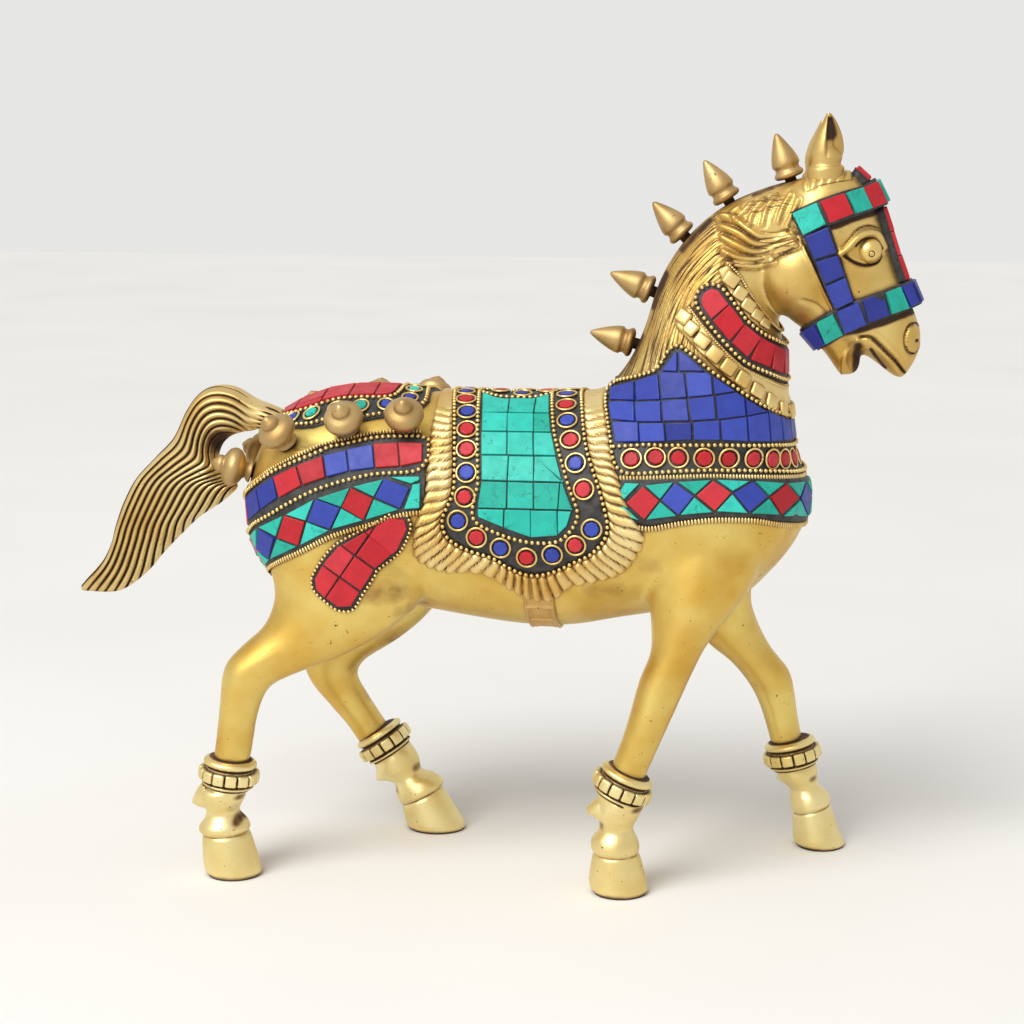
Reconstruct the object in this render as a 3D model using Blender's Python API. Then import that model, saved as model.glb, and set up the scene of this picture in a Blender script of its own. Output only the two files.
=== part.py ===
"""Brass running horse with set-stone trappings: castings, turned studs and stone panels, in metres, +Z up.

The horse faces +X and stands on four flat soles at z = 0. Near is the -Y side, far is the +Y side.
Lengths are written in millimetres and turned to metres by MM where a mesh is made. A point written
as a pair is a place in side view, (x, z).
"""

import math

import bmesh
import bpy
from mathutils import Matrix, Vector
from mathutils.bvhtree import BVHTree

MM = 0.001

# The horse's main sizes, in millimetres. The outlines below are drawn for the drawn sizes, and
# placed() moves every point of them with these two.
BODY_LENGTH = 200.0  # chest to rump
BELLY_HEIGHT = 89.0  # soles to the lowest of the belly
DRAWN_BODY_LENGTH = 200.0
DRAWN_BELLY_HEIGHT = 89.0
LOIN_X = -20.0  # the barrel lengthens between the loin and the withers
WITHERS_X = 45.0

# Driving dimensions of the make-up, in millimetres
BRAZE_GAP = 0.3  # film of braze or lac left between neighbouring pieces
WALL = 4.0  # wall of the hollow barrel and neck
PANEL_THICK = 1.6  # stone chips with their black lac bed
SKIRT_THICK = 1.2  # cast fringe and boss strips
BRIDLE_THICK = 2.2  # bridle straps stand prouder than the panels
FACE_STRAP_THICK = 3.8  # the strap down the face is bedded on a ridge of lac
SURFACE_GRAIN = 1.6  # grid on which the lofts are blended into one casting
BLEND_PASSES = 9  # rounds of smoothing that turn creases into fillets
CAST_FACETS = 2600  # triangles left on the blended casting
PANEL_OVERSHOOT = 60.0  # how far a side-view cutter reaches past the middle plane
WINDOW_SPARE = 10.0  # how far a window's cutter reaches past the piece that it opens

STANCE = 33.0  # middle plane to the middle of each hoof
SOLE_DEPTH = 3.0  # hooves are modelled this far below the soles, then cut flat
FLOOR_REACH = 160.0
FLOOR_DEPTH = 20.0

TENON_RADIUS = 3.2
TENON_LENGTH = 7.0
STUD_RADIUS = 1.3
STUD_LENGTH = 2.6
DRILL_SPARE = 0.3  # drilled holes are this much deeper than their studs

ANKLET_RADIUS = 10.6

# Side-view stations: top or front point, bottom or back point, middle y, half width
BARREL = [
    ((-86.6, 140), (-86.6, 128), 0, 7),
    ((-83.6, 151), (-84.0, 116), 0, 21),
    ((-78.0, 160.5), (-79, 107), 0, 29),
    ((-69, 167.5), (-70, 101), 0, 34),
    ((-57, 172), (-58, 98), 0, 37),
    ((-42, 174), (-42, 96.5), 0, 38),
    ((-24, 172.8), (-24, 94.5), 0, 37.5),
    ((-8, 172.2), (-8, 92), 0, 37),
    ((12, 172.2), (12, 89.5), 0, 37),
    ((30, 172.6), (30, 89.5), 0, 37),
    ((46, 174), (46, 92.5), 0, 37),
    ((60, 175), (60, 95), 0, 37),
    ((76, 171), (76, 97.5), 0, 36.5),
    ((90, 165), (90, 101), 0, 34),
    ((101, 158), (100, 110), 0, 28.5),
    ((108, 152), (107.5, 119), 0, 21),
    ((112, 146), (112, 127), 0, 12),
    ((113.5, 140), (113.5, 132), 0, 5),
]
NECK = [
    ((32, 164), (104, 128), 0, 30),
    ((43, 176), (108, 150), 0, 32),
    ((51, 187), (107, 163), 0, 29.5),
    ((56, 199), (105, 176), 0, 26),
    ((59.5, 211), (104.5, 189), 0, 22),
    ((65, 222), (102, 202), 0, 19),
    ((73, 232), (103, 212), 0, 17),
    ((84, 240.5), (108, 221), 0, 16),
    ((98, 246.5), (116, 228), 0, 15.5),
    ((112, 250), (122, 232), 0, 14),
]
SKULL = [
    ((116, 253), (103, 246), 0, 9),
    ((124, 252.5), (101, 241), 0, 15),
    ((131, 247.5), (99, 231), 0, 18),
    ((135.5, 239), (98, 220), 0, 18.5),
    ((139, 229), (99, 209), 0, 18),
    ((142.5, 219), (105, 201.5), 0, 16),
    ((146, 210.5), (114, 195), 0, 14),
    ((149, 204), (122, 191), 0, 12.5),
    ((151.2, 197), (131, 189), 0, 11.5),
    ((151.0, 190), (135.5, 186.5), 0, 10),
    ((147.5, 183), (140, 183), 0, 6.5),
    ((145.5, 180.5), (143, 181), 0, 3),
]
JAW = [
    ((122, 204), (108, 204), 0, 11),
    ((126, 197), (113, 195), 0, 10.5),
    ((129.5, 191), (118.5, 189), 0, 9),
    ((131, 186), (122, 184), 0, 7.5),
    ((129.5, 182), (124, 181.2), 0, 4.5),
]
CHEEK_CENTRE = (109.5, 218.5)
CHEEK_RADIUS = 17.5
CHEEK_HALF_WIDTH = 20.5

# Each leg's shoulder or thigh, down to the top of its anklet
LEGS = {
    "near_fore": [
        ((96, 138), (58, 140), -20, 12),
        ((99, 121), (58, 118), -22, 14),
        ((94, 107), (60, 103), -24, 14),
        ((86, 96.5), (61, 94), -26, 12.5),
        ((80, 88), (61, 86), -28, 10.8),
        ((74, 75), (57.5, 77), -30, 9.2),
        ((70, 65.5), (55, 67.5), -31.5, 8.6),
        ((65.5, 55), (52.5, 58.5), -STANCE, 7.3),
        ((61.5, 45.5), (49.5, 50), -STANCE, 6.7),
        ((58.5, 38), (47, 43), -STANCE, 6.7),
    ],
    "far_fore": [
        ((96, 138), (58, 140), 20, 12),
        ((99, 121), (58, 118), 22, 14),
        ((95, 107), (62, 101), 24, 14),
        ((93, 95), (69, 89), 26, 12),
        ((96, 84.5), (77, 77.5), 28.5, 10.5),
        ((101, 75), (85, 71), 30, 9.4),
        ((107.3, 67), (91.5, 63), 31.5, 8.8),
        ((109.5, 58), (95.5, 55.5), STANCE, 7.6),
        ((111, 48), (98.5, 47), STANCE, 6.8),
        ((113, 39), (101, 38), STANCE, 6.7),
    ],
    "near_hind": [
        ((-42, 156), (-72, 156), -21, 13),
        ((-29, 139), (-80.5, 140), -22.5, 15.5),
        ((-22, 120), (-80, 122), -23.5, 16),
        ((-19, 104), (-75, 110), -24.5, 15.5),
        ((-32, 90.5), (-73.5, 101), -26.5, 13.5),
        ((-48, 81.5), (-77, 91.5), -28.5, 11.5),
        ((-63, 75.5), (-85, 84), -30.5, 9.8),
        ((-74, 70), (-91, 76.5), -32, 8.8),
        ((-78.5, 61), (-92.5, 64), -STANCE, 7.5),
        ((-80.5, 51), (-94, 52), -STANCE, 6.8),
        ((-82, 42), (-95.5, 42), -STANCE, 6.8),
    ],
    "far_hind": [
        ((-42, 156), (-72, 156), 21, 13),
        ((-29, 139), (-80, 140), 22.5, 15.5),
        ((-22, 120), (-78, 121), 23.5, 16),
        ((-18, 102), (-71, 103), 24.5, 15),
        ((-27, 86), (-71, 91), 26.5, 13),
        ((-40, 74.5), (-74.5, 80), 28.5, 11.5),
        ((-52, 66.5), (-77.5, 69), 30.5, 9.8),
        ((-56.5, 60), (-75, 57.5), 32, 8.8),
        ((-53.5, 53), (-67.5, 47.5), STANCE, 7.4),
        ((-49, 46), (-60.5, 39.5), STANCE, 6.8),
        ((-44, 38.5), (-55.5, 32), STANCE, 6.8),
    ],
}

# Each anklet's axis, from its top centre to its bottom centre, then the foot below it:
# back point, front point and half width of fetlock, pastern, coronet, hoof top and hoof edge
FEET = {
    "near_fore": {
        "anklet": ((54.5, 44.5), (50.0, 34.0)),
        "foot": [
            ((42.5, 33.0), (58.5, 32.5), 8.6),
            ((40.5, 28.5), (57.5, 29.0), 8.2),
            ((44.5, 23.8), (56.0, 24.5), 6.3),
            ((42.5, 20.8), (57.0, 20.8), 7.6),
            ((41.2, 17.0), (58.2, 17.0), 8.8),
            ((42.6, 14.6), (57.6, 14.8), 8.1),
            ((41.0, 8.0), (59.8, 8.0), 9.2),
            ((41.8, 0.0), (61.2, 0.0), 9.8),
        ],
    },
    "far_fore": {
        "anklet": ((107.5, 40.5), (110.0, 29.5)),
        "foot": [
            ((103.5, 27.5), (118.5, 28.5), 8.4),
            ((104.5, 25.0), (118.3, 26.0), 7.8),
            ((108.5, 21.0), (119.0, 22.5), 6.2),
            ((108.6, 17.8), (122.0, 20.3), 7.6),
            ((108.6, 14.0), (123.6, 17.3), 8.6),
            ((110.0, 11.6), (122.6, 15.0), 8.0),
            ((109.6, 6.0), (126.2, 8.0), 9.0),
            ((110.4, 0.0), (129.0, 0.0), 9.6),
        ],
    },
    "near_hind": {
        "anklet": ((-89.0, 43.5), (-90.5, 32.0)),
        "foot": [
            ((-99.5, 30.0), (-82.5, 30.0), 8.8),
            ((-100.5, 26.5), (-83.5, 26.5), 8.3),
            ((-97.5, 21.0), (-85.5, 21.5), 6.5),
            ((-99.8, 17.6), (-82.8, 18.4), 8.2),
            ((-101.0, 14.2), (-82.0, 15.8), 9.2),
            ((-99.6, 11.6), (-82.0, 13.4), 8.5),
            ((-99.8, 6.0), (-79.8, 7.0), 9.4),
            ((-98.8, 0.0), (-78.6, 0.0), 9.8),
        ],
    },
    "far_hind": {
        "anklet": ((-49.3, 37.8), (-43.2, 28.6)),
        "foot": [
            ((-49.5, 22.5), (-35.0, 31.0), 8.6),
            ((-48.5, 18.8), (-32.8, 27.2), 8.2),
            ((-42.2, 17.4), (-32.2, 22.6), 6.4),
            ((-41.6, 13.8), (-26.6, 21.2), 8.0),
            ((-40.8, 10.4), (-23.8, 18.2), 9.0),
            ((-39.2, 8.4), (-24.0, 15.4), 8.4),
            ((-38.4, 4.2), (-18.8, 7.8), 9.4),
            ((-36.8, 0.0), (-15.2, 0.0), 9.8),
        ],
    },
}
TUFTS = {
    "near_fore": ((45.5, 33.0), (39.2, 29.6)),
    "far_fore": ((107.5, 28.0), (104.2, 26.0)),
    "near_hind": ((-97.0, 30.0), (-103.0, 25.2)),
    "far_hind": ((-46.5, 24.5), (-48.6, 18.4)),
}
TUFT_RADIUS = 3.4

# Where each leg is brazed on: a side-view outline that holds all of the leg below the joint
LEG_CUTS = {
    "near_fore": [(49, 84.5), (93, 81), (88, -9), (26, -9), (30, 60)],
    "far_fore": [(64, 78.5), (107, 92), (140, 60), (140, -9), (90, -9), (66, 60)],
    "near_hind": [(-47, 76.2), (-79.5, 99.5), (-120, 80), (-120, -9), (-66, -9), (-66, 60)],
    "far_hind": [(-35.5, 67.8), (-79, 86.6), (-100, 50), (-70, -9), (-5, -9), (-20, 50)],
}
LEG_TENONS = {
    "near_fore": (67, -28.6, 83),
    "far_fore": (83, 28, 84.5),
    "near_hind": (-63, -28.4, 87.6),
    "far_hind": (-57.5, 28.5, 77.3),
}
NECK_REGION = [(24, 187.0), (120, 152.0), (190, 152.0), (190, 300), (24, 300)]
HEAD_REGION = [(86, 270), (86, 251.5), (106, 195), (110, 175), (190, 175), (190, 300)]

# Tail plume: outer point, inner point, half thickness
TAIL = [
    ((-70, 161), (-73, 150.5), 0, 5.5),
    ((-76, 165.0), (-78.5, 154), 0, 6.2),
    ((-83, 168.5), (-84.5, 156), 0, 7.2),
    ((-91, 172), (-90.5, 158), 0, 8.2),
    ((-99, 173.5), (-96, 157.5), 0, 8.8),
    ((-106.5, 171.3), (-100, 155), 0, 9.2),
    ((-112, 165.5), (-102.5, 151), 0, 9.4),
    ((-116.5, 157.5), (-102.5, 145.5), 0, 9.4),
    ((-121.5, 150), (-99, 138.5), 0, 9.2),
    ((-128.5, 142.5), (-96.5, 131.8), 0, 8.8),
    ((-134.5, 135.5), (-103.5, 126.5), 0, 8.4),
    ((-137.8, 127), (-112, 120.5), 0, 7.8),
    ((-140.2, 118.5), (-121, 112), 0, 6.8),
    ((-143.5, 110.5), (-129, 104.2), 0, 5.6),
    ((-149, 103), (-138.5, 98), 0, 4.2),
    ((-154.2, 97.8), (-151.5, 95.4), 0, 2.4),
]
TAIL_SEAT = (-79.0, 0.0, 159.5)
TAIL_INWARD = (0.93, 0.0, -0.37)

# Ears: stations of the near ear from its ring foot to its tip; the far ear is set back and lower
EAR = [
    ((124.2, 246), (109.6, 245), 0, 5.4),
    ((124.8, 250.6), (109.8, 249.4), 0, 5.6),
    ((124.6, 252.6), (110.2, 251.8), 0, 5.5),
    ((123.4, 253.8), (111.2, 253.4), 0, 4.5),
    ((124.6, 259), (111.2, 258.4), 0, 4.9),
    ((123.8, 265), (113.2, 264.4), 0, 4.3),
    ((121.2, 269.2), (116.0, 268.8), 0, 2.7),
    ((119.0, 271.8), (117.6, 271.6), 0, 0.9),
]
EAR_SPREAD = 8.5
EAR_FAR_SHIFT = (-2.4, -2.8)
EAR_SCOOP_CENTRE = (124.4, -2.4, 264.5)
EAR_SCOOP_RADII = (5.0, 3.4, 8.0)
EAR_PEG_RADIUS = 2.0
EAR_PEG_FOOT = (117.0, 242.5)
EAR_PEG_LENGTH = 11.0

# Mane finials: seat and tip in side view, then the turned outline as (radius, height) pairs
FINIALS = [
    ((52.5, 191.0), (36.0, 195.0)),
    ((59.5, 209.0), (44.0, 215.5)),
    ((69.5, 228.5), (58.0, 240.5)),
    ((84.5, 241.0), (76.0, 254.5)),
    ((105.5, 249.0), (100.0, 265.0)),
]
NECK_CORE = 8.0  # the seat is sought along a line that starts this deep in the neck
FINIAL_PROFILE = [
    (4.3, 1.5), (5.1, 2.2), (5.1, 3.2), (4.3, 4.2), (4.3, 5.2), (4.8, 6.4), (4.4, 9.0), (2.7, 13.2),
    (0.9, 16.6), (0, 17.4),
]
# Crupper bells: x of the seat, and degrees up from straight out to the side; then the pair by the tail
BELLS = [(-26.0, 52.0), (-46.0, 48.5), (-67.0, 42.5)]
BELL_AXIS_Z = 131.0
TAIL_BELL_INSIDE = (-70.0, -15.0, 142.0)
TAIL_BELL_WAY = (-0.93, -0.18, 0.20)
BELL_PROFILE = [
    (4.0, 0.6), (4.0, 1.4), (2.6, 2.8), (6.1, 4.9), (7.0, 7.0), (6.3, 9.2), (3.5, 10.9), (3.3, 12.2),
    (1.5, 13.8), (0, 15.0),
]

# Side-view outlines of the set-stone panels and cast strips
SADDLE_FIELD = [
    (3.8, 190), (3.2, 160), (3.0, 141), (2.2, 134.5), (9, 130), (20, 127.4), (29, 128.4),
    (34.2, 133), (34.4, 139.5), (30.4, 147), (27.6, 160), (26.6, 190),
]
SADDLE_BORDER = [
    (-8, 190), (-8.4, 147), (-8.4, 138), (-12.4, 128), (-10, 121), (-2, 117), (10, 115),
    (23, 113.4), (34, 115), (44, 119), (49, 126), (48.6, 135), (43, 147), (39.6, 160), (37.6, 190),
]
SADDLE_FRINGE = [
    (-17, 190), (-17.4, 150), (-18, 138), (-22.6, 127), (-20, 117), (-2, 111.4), (8, 107.6),
    (22, 104.6), (35, 109.6), (54, 116), (61.4, 126), (59.4, 137), (52, 150), (47.4, 163), (46.6, 190),
]
SEAT_HALF_WIDTH = 14.5
CHEST_LAPIS = [
    (49.4, 161.2), (48.8, 178), (57, 182.5), (66.5, 192.6), (72.0, 193.4), (78.5, 186), (92, 177.6),
    (104, 171.4), (122, 162.4), (122, 156.6), (104, 158.2),
]
CHEST_RINGS = [
    (49.4, 159.8), (51, 151.6), (56, 150.8), (104, 147.6), (124, 145.6), (124, 155.4), (104, 157.0),
]
CHEST_DIAMONDS = [
    (52.2, 143.6), (57.2, 149.4), (104, 146.2), (130, 144.2), (130, 128.2), (104, 130.2), (62, 132.8),
]
RUMP_CORAL_REAR = -75.5
RUMP_CORAL_FRONT = -31.0
RUMP_CORAL_HALF = 12.4
CREST_LOW = 150.0  # the strips along the back lie between these heights
CREST_HIGH = 190.0
RUMP_RINGS_FRONT = -22.5
RUMP_RINGS_HALF = 20.8
RUMP_BAND = [
    (-100, 134.5), (-89, 137.5), (-78, 143.6), (-62, 152), (-40, 157), (-20.6, 158.4), (-19, 155),
    (-20.0, 150.4), (-33, 149), (-55, 143.6), (-78, 132.4), (-89, 126), (-100, 122.4),
]
RUMP_DIAMONDS = [
    (-100, 119.8), (-89, 123.6), (-78, 130.2), (-62, 138.6), (-44, 144.6), (-23.4, 148.6),
    (-20.4, 138.4), (-24.2, 136.0), (-37, 132.2), (-62, 120.6), (-78, 111.6), (-88, 105.6), (-100, 101.0),
]
THIGH_DROP = [
    (-26.0, 133.4), (-24.2, 127), (-31, 114.6), (-42, 101), (-50, 99.4), (-56.6, 104), (-56.0, 113),
    (-48, 121), (-37, 129.4),
]
COLLAR_CORAL = [
    (77.6, 207), (81, 213), (86, 211.6), (93, 201.4), (104, 193.4), (110.5, 190.4), (110.5, 182.4),
    (104, 185.2), (93, 190.4), (84.0, 198.0),
]
COLLAR_UPPER = [
    (81.8, 214.8), (84.4, 222.6), (88.6, 220.6), (95, 207.8), (102, 201.0), (110.5, 195.4),
    (110.5, 191.8), (104.4, 194.8), (94.0, 202.8), (87.0, 213.0),
]
COLLAR_LOWER = [
    (74.6, 204.2), (79.2, 207.6), (84.2, 196.2), (93.0, 188.8), (104, 183.6), (110.5, 180.8),
    (112.5, 169.4), (105, 173.0), (92.6, 179.2), (79.6, 187.4), (74.0, 195.2),
]
GIRTH = [(17, 111), (30, 111), (30, 80), (17, 80)]
BROWBAND = [(108.4, 241.4), (124, 247.0), (150, 256.2), (150, 247.4), (126, 239.2), (112.0, 234.0)]
CHEEKPIECE = [(110.6, 237.2), (118.6, 240.2), (132.4, 208.6), (124.6, 205.8)]
NOSEBAND = [
    (113.5, 200.2), (124, 206.2), (141, 212.0), (160, 218.8), (160, 210.4), (142, 203.6),
    (125, 198.0), (114.5, 193.6),
]
FACE_STRAP = [(127, 262), (127, 249), (133, 236), (147, 208.0), (170, 215), (160, 262)]
FACE_STRAP_HALF = 4.4

BRASS = ("brass", (0.72, 0.52, 0.20), 0.32, 1.0)
BRIGHT_BRASS = ("bright_brass", (0.80, 0.62, 0.28), 0.28, 1.0)
CORAL = ("coral_red", (0.70, 0.05, 0.06), 0.45, 0.0)
LAPIS = ("lapis_blue", (0.04, 0.06, 0.34), 0.45, 0.0)
TURQUOISE = ("turquoise", (0.05, 0.55, 0.43), 0.45, 0.0)
LAC = ("black_lac", (0.03, 0.03, 0.035), 0.55, 0.0)


def placed(x, z):
    """A point of the drawn outlines, moved with the body's length and the belly's height."""
    along = min(max((x - LOIN_X) / (WITHERS_X - LOIN_X), 0.0), 1.0)
    up = min(max(z / DRAWN_BELLY_HEIGHT, 0.0), 1.0)
    longer = (BODY_LENGTH - DRAWN_BODY_LENGTH) * along
    higher = (BELLY_HEIGHT - DRAWN_BELLY_HEIGHT) * up
    return x + longer, z + higher


def placed_point(x, y, z):
    """The same for a point in space."""
    moved_x, moved_z = placed(x, z)
    return Vector((moved_x, y, moved_z))


def clear_scene():
    for obj in list(bpy.data.objects):
        bpy.data.objects.remove(obj)


def finish_of(spec):
    """One Principled material for each finish, made once."""
    name, colour, roughness, metallic = spec
    material = bpy.data.materials.get(name)
    if material is None:
        material = bpy.data.materials.new(name)
        material.use_nodes = True
        shader = material.node_tree.nodes["Principled BSDF"]
        shader.inputs["Base Color"].default_value = (*colour, 1.0)
        shader.inputs["Roughness"].default_value = roughness
        shader.inputs["Metallic"].default_value = metallic
        material.diffuse_color = (*colour, 1.0)
    return material


def object_from(name, bm, finish=BRASS):
    """Puts a bmesh, in metres, into a new object."""
    bmesh.ops.recalc_face_normals(bm, faces=bm.faces)
    mesh = bpy.data.meshes.new(name)
    bm.to_mesh(mesh)
    bm.free()
    mesh.materials.append(finish_of(finish))
    obj = bpy.data.objects.new(name, mesh)
    bpy.context.scene.collection.objects.link(obj)
    return obj


def helper(obj):
    """Keeps a cutter or a guide out of the finished object."""
    obj.hide_render = True
    obj.display_type = "WIRE"
    return obj


def bake(obj):
    """Replaces an object's mesh by its evaluated one, and drops its modifiers."""
    graph = bpy.context.evaluated_depsgraph_get()
    mesh = bpy.data.meshes.new_from_object(obj.evaluated_get(graph), depsgraph=graph)
    obj.modifiers.clear()
    obj.data = mesh
    return obj


def cut(obj, *tools, operation="DIFFERENCE"):
    """Applies one exact Boolean for each tool, which stays a hidden helper."""
    for tool in tools:
        helper(tool)
        boolean = obj.modifiers.new("cut", "BOOLEAN")
        boolean.operation = operation
        boolean.solver = "EXACT"
        boolean.object = tool
        bake(obj)
    return obj


def join_solid(obj, *tools):
    return cut(obj, *tools, operation="UNION")


def within(obj, tool):
    return cut(obj, tool, operation="INTERSECT")


def copy_of(obj, name, finish=BRASS):
    twin = bpy.data.objects.new(name, obj.data.copy())
    twin.data.materials.clear()
    twin.data.materials.append(finish_of(finish))
    bpy.context.scene.collection.objects.link(twin)
    return twin


def catmull(a, b, c, d, t):
    """Point between b and c on the smooth curve through a, b, c and d."""
    return 0.5 * (
        2 * b + (c - a) * t + (2 * a - 5 * b + 4 * c - d) * t * t + (3 * b - a - 3 * c + d) * t**3
    )


def smooth_rows(rows, steps):
    """Rows of numbers, with steps - 1 more between each pair on smooth curves."""
    rows = [Vector(row) for row in rows]
    made = []
    for i in range(len(rows) - 1):
        before = rows[max(i - 1, 0)]
        after = rows[min(i + 2, len(rows) - 1)]
        for k in range(steps):
            made.append(catmull(before, rows[i], rows[i + 1], after, k / steps))
    made.append(rows[-1])
    return made


def station_rows(stations):
    """Each station as one row: two side-view points, middle y and half width."""
    rows = []
    for first, second, middle, half in stations:
        rows.append((*placed(*first), *placed(*second), middle, half))
    return rows


def loft(name, stations, sides=20, steps=3, inset=0.0, finish=BRASS):
    """A closed skin through oval sections, each given by its edge points in side view."""
    bm = bmesh.new()
    rings = []
    for row in smooth_rows(station_rows(stations), steps):
        first, second = Vector(row[0:2]), Vector(row[2:4])
        middle, half = row[4], max(row[5] - inset, 0.4)
        centre = (first + second) / 2
        reach = (first - second) / 2
        reach *= max(reach.length - inset, 0.4) / reach.length
        ring = []
        for k in range(sides):
            angle = 2 * math.pi * k / sides
            flat = centre + reach * math.cos(angle)
            point = Vector((flat.x, middle + half * math.sin(angle), flat.y)) * MM
            ring.append(bm.verts.new(point))
        rings.append(ring)
    for low, high in zip(rings, rings[1:]):
        for k in range(sides):
            m = (k + 1) % sides
            bm.faces.new((low[k], low[m], high[m], high[k]))
    bm.faces.new(rings[0][::-1])
    bm.faces.new(rings[-1])
    return object_from(name, bm, finish)


def ball(name, centre, radii, subdivisions=2):
    bm = bmesh.new()
    matrix = Matrix.Translation(Vector(centre) * MM) @ Matrix.Diagonal((*(Vector(radii) * MM), 1.0))
    bmesh.ops.create_icosphere(bm, subdivisions=subdivisions, radius=1.0, matrix=matrix)
    return object_from(name, bm)


def turn_to(direction):
    """Rotation that takes +Z to a direction."""
    return Vector(direction).to_track_quat("Z", "Y").to_matrix().to_4x4()


def turned(name, profile, seat, direction, sides=16, finish=BRASS):
    """A lathe-turned piece: (radius, height) pairs in millimetres, from the axis back to the axis."""
    bm = bmesh.new()
    line = [bm.verts.new((radius * MM, 0, height * MM)) for radius, height in profile]
    edges = [bm.edges.new(pair) for pair in zip(line, line[1:])]
    bmesh.ops.spin(
        bm, geom=line + edges, axis=(0, 0, 1), cent=(0, 0, 0), angle=2 * math.pi, steps=sides,
        use_merge=True,
    )
    bmesh.ops.remove_doubles(bm, verts=bm.verts, dist=1e-6)
    place = Matrix.Translation(Vector(seat) * MM) @ turn_to(direction)
    bmesh.ops.transform(bm, matrix=place, verts=bm.verts)
    return object_from(name, bm, finish)


def rod(name, start, direction, radius, length, sides=12):
    """A plain round rod that runs from start along direction."""
    profile = [(0, 0), (radius, 0), (radius, length), (0, length)]
    return turned(name, profile, start, direction, sides)


def grown(outline, distance):
    """A side-view outline moved outwards by a distance, corners mitred."""
    count = len(outline)
    area = sum(
        outline[i][0] * outline[(i + 1) % count][1] - outline[(i + 1) % count][0] * outline[i][1]
        for i in range(count)
    )
    sense = 1 if area > 0 else -1
    made = []
    for i in range(count):
        here = Vector(outline[i])
        ahead = (Vector(outline[(i + 1) % count]) - here).normalized()
        behind = (here - Vector(outline[i - 1])).normalized()
        out_ahead = Vector((ahead.y, -ahead.x)) * sense
        out_behind = Vector((behind.y, -behind.x)) * sense
        mitre = (out_ahead + out_behind).normalized()
        stretch = min(1 / max(mitre.dot(out_ahead), 0.3), 2.0)
        made.append(tuple(here + mitre * distance * stretch))
    return made


def side_prism(name, outline, low=-PANEL_OVERSHOOT, high=PANEL_OVERSHOOT):
    """A side-view outline extruded straight across the horse, from y = low to y = high."""
    bm = bmesh.new()
    corners = [bm.verts.new(placed_point(x, low, z) * MM) for x, z in outline]
    face = bm.faces.new(corners)
    swept = bmesh.ops.extrude_face_region(bm, geom=[face])["geom"]
    moved = [item for item in swept if isinstance(item, bmesh.types.BMVert)]
    bmesh.ops.translate(bm, verts=moved, vec=(0, (high - low) * MM, 0))
    return helper(object_from(name, bm))


def blended_casting():
    """All the lofts run together, their creases filled as in a wax, before it is parted."""
    parts = [
        loft("form_barrel", BARREL, sides=40),
        loft("form_neck", NECK, sides=32),
        loft("form_skull", SKULL, sides=28),
        loft("form_jaw", JAW, sides=20),
    ]
    parts += [loft("form_" + leg, stations) for leg, stations in LEGS.items()]
    x, z = placed(*CHEEK_CENTRE)
    cheek = (CHEEK_RADIUS, CHEEK_HALF_WIDTH, CHEEK_RADIUS)
    parts.append(ball("form_cheek", (x, 0, z), cheek, subdivisions=4))
    bm = bmesh.new()
    for part in parts:
        bm.from_mesh(part.data)
        bpy.data.objects.remove(part)
    casting = helper(object_from("form_casting", bm))
    grain = casting.modifiers.new("grain", "REMESH")
    grain.mode = "VOXEL"
    grain.voxel_size = SURFACE_GRAIN * MM
    blend = casting.modifiers.new("blend", "SMOOTH")
    blend.factor = 0.5
    blend.iterations = BLEND_PASSES
    bake(casting)
    found = len(casting.data.polygons) * 2
    fewer = casting.modifiers.new("fewer", "DECIMATE")
    fewer.ratio = min(1.0, CAST_FACETS / found)
    return bake(casting)


def offset_surface(bm, casting, distance, inward_facing=False):
    """Adds the casting's surface to a bmesh, moved out along its normals."""
    side = bmesh.new()
    side.from_mesh(casting.data)
    side.normal_update()
    for vert in side.verts:
        vert.co += vert.normal * distance * MM
    if inward_facing:
        bmesh.ops.reverse_faces(side, faces=side.faces)
    mesh = bpy.data.meshes.new("offset")
    side.to_mesh(mesh)
    side.free()
    bm.from_mesh(mesh)
    bpy.data.meshes.remove(mesh)


def raw_object(name, bm):
    """Like object_from, but keeps the faces' directions, as a shell with two walls needs."""
    mesh = bpy.data.meshes.new(name)
    bm.to_mesh(mesh)
    bm.free()
    obj = bpy.data.objects.new(name, mesh)
    bpy.context.scene.collection.objects.link(obj)
    return helper(obj)


def grown_casting(casting, distance):
    bm = bmesh.new()
    offset_surface(bm, casting, distance)
    return raw_object("form_grown", bm)


def laid_over(casting, thickness):
    """A shell of even thickness that lies a braze gap above the whole casting."""
    bm = bmesh.new()
    offset_surface(bm, casting, BRAZE_GAP + thickness)
    offset_surface(bm, casting, BRAZE_GAP, inward_facing=True)
    return raw_object("form_shell", bm)


def panel(name, shell, outline, finish, low=-PANEL_OVERSHOOT, high=PANEL_OVERSHOOT, holes=()):
    """The part of a shell inside a side-view outline, less the grown outlines of its neighbours."""
    piece = copy_of(shell, name, finish)
    within(piece, side_prism("cut_" + name, outline, low, high))
    for number, hole in enumerate(holes):
        cut(piece, side_prism(f"hole_{name}_{number}", grown(hole, BRAZE_GAP)))
    return piece


def side_box(low_x, high_x, low_z=CREST_LOW, high_z=CREST_HIGH):
    return [(low_x, low_z), (high_x, low_z), (high_x, high_z), (low_x, high_z)]


def surface_tree(casting):
    bm = bmesh.new()
    bm.from_mesh(casting.data)
    tree = BVHTree.FromBMesh(bm)
    bm.free()
    return tree


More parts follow.
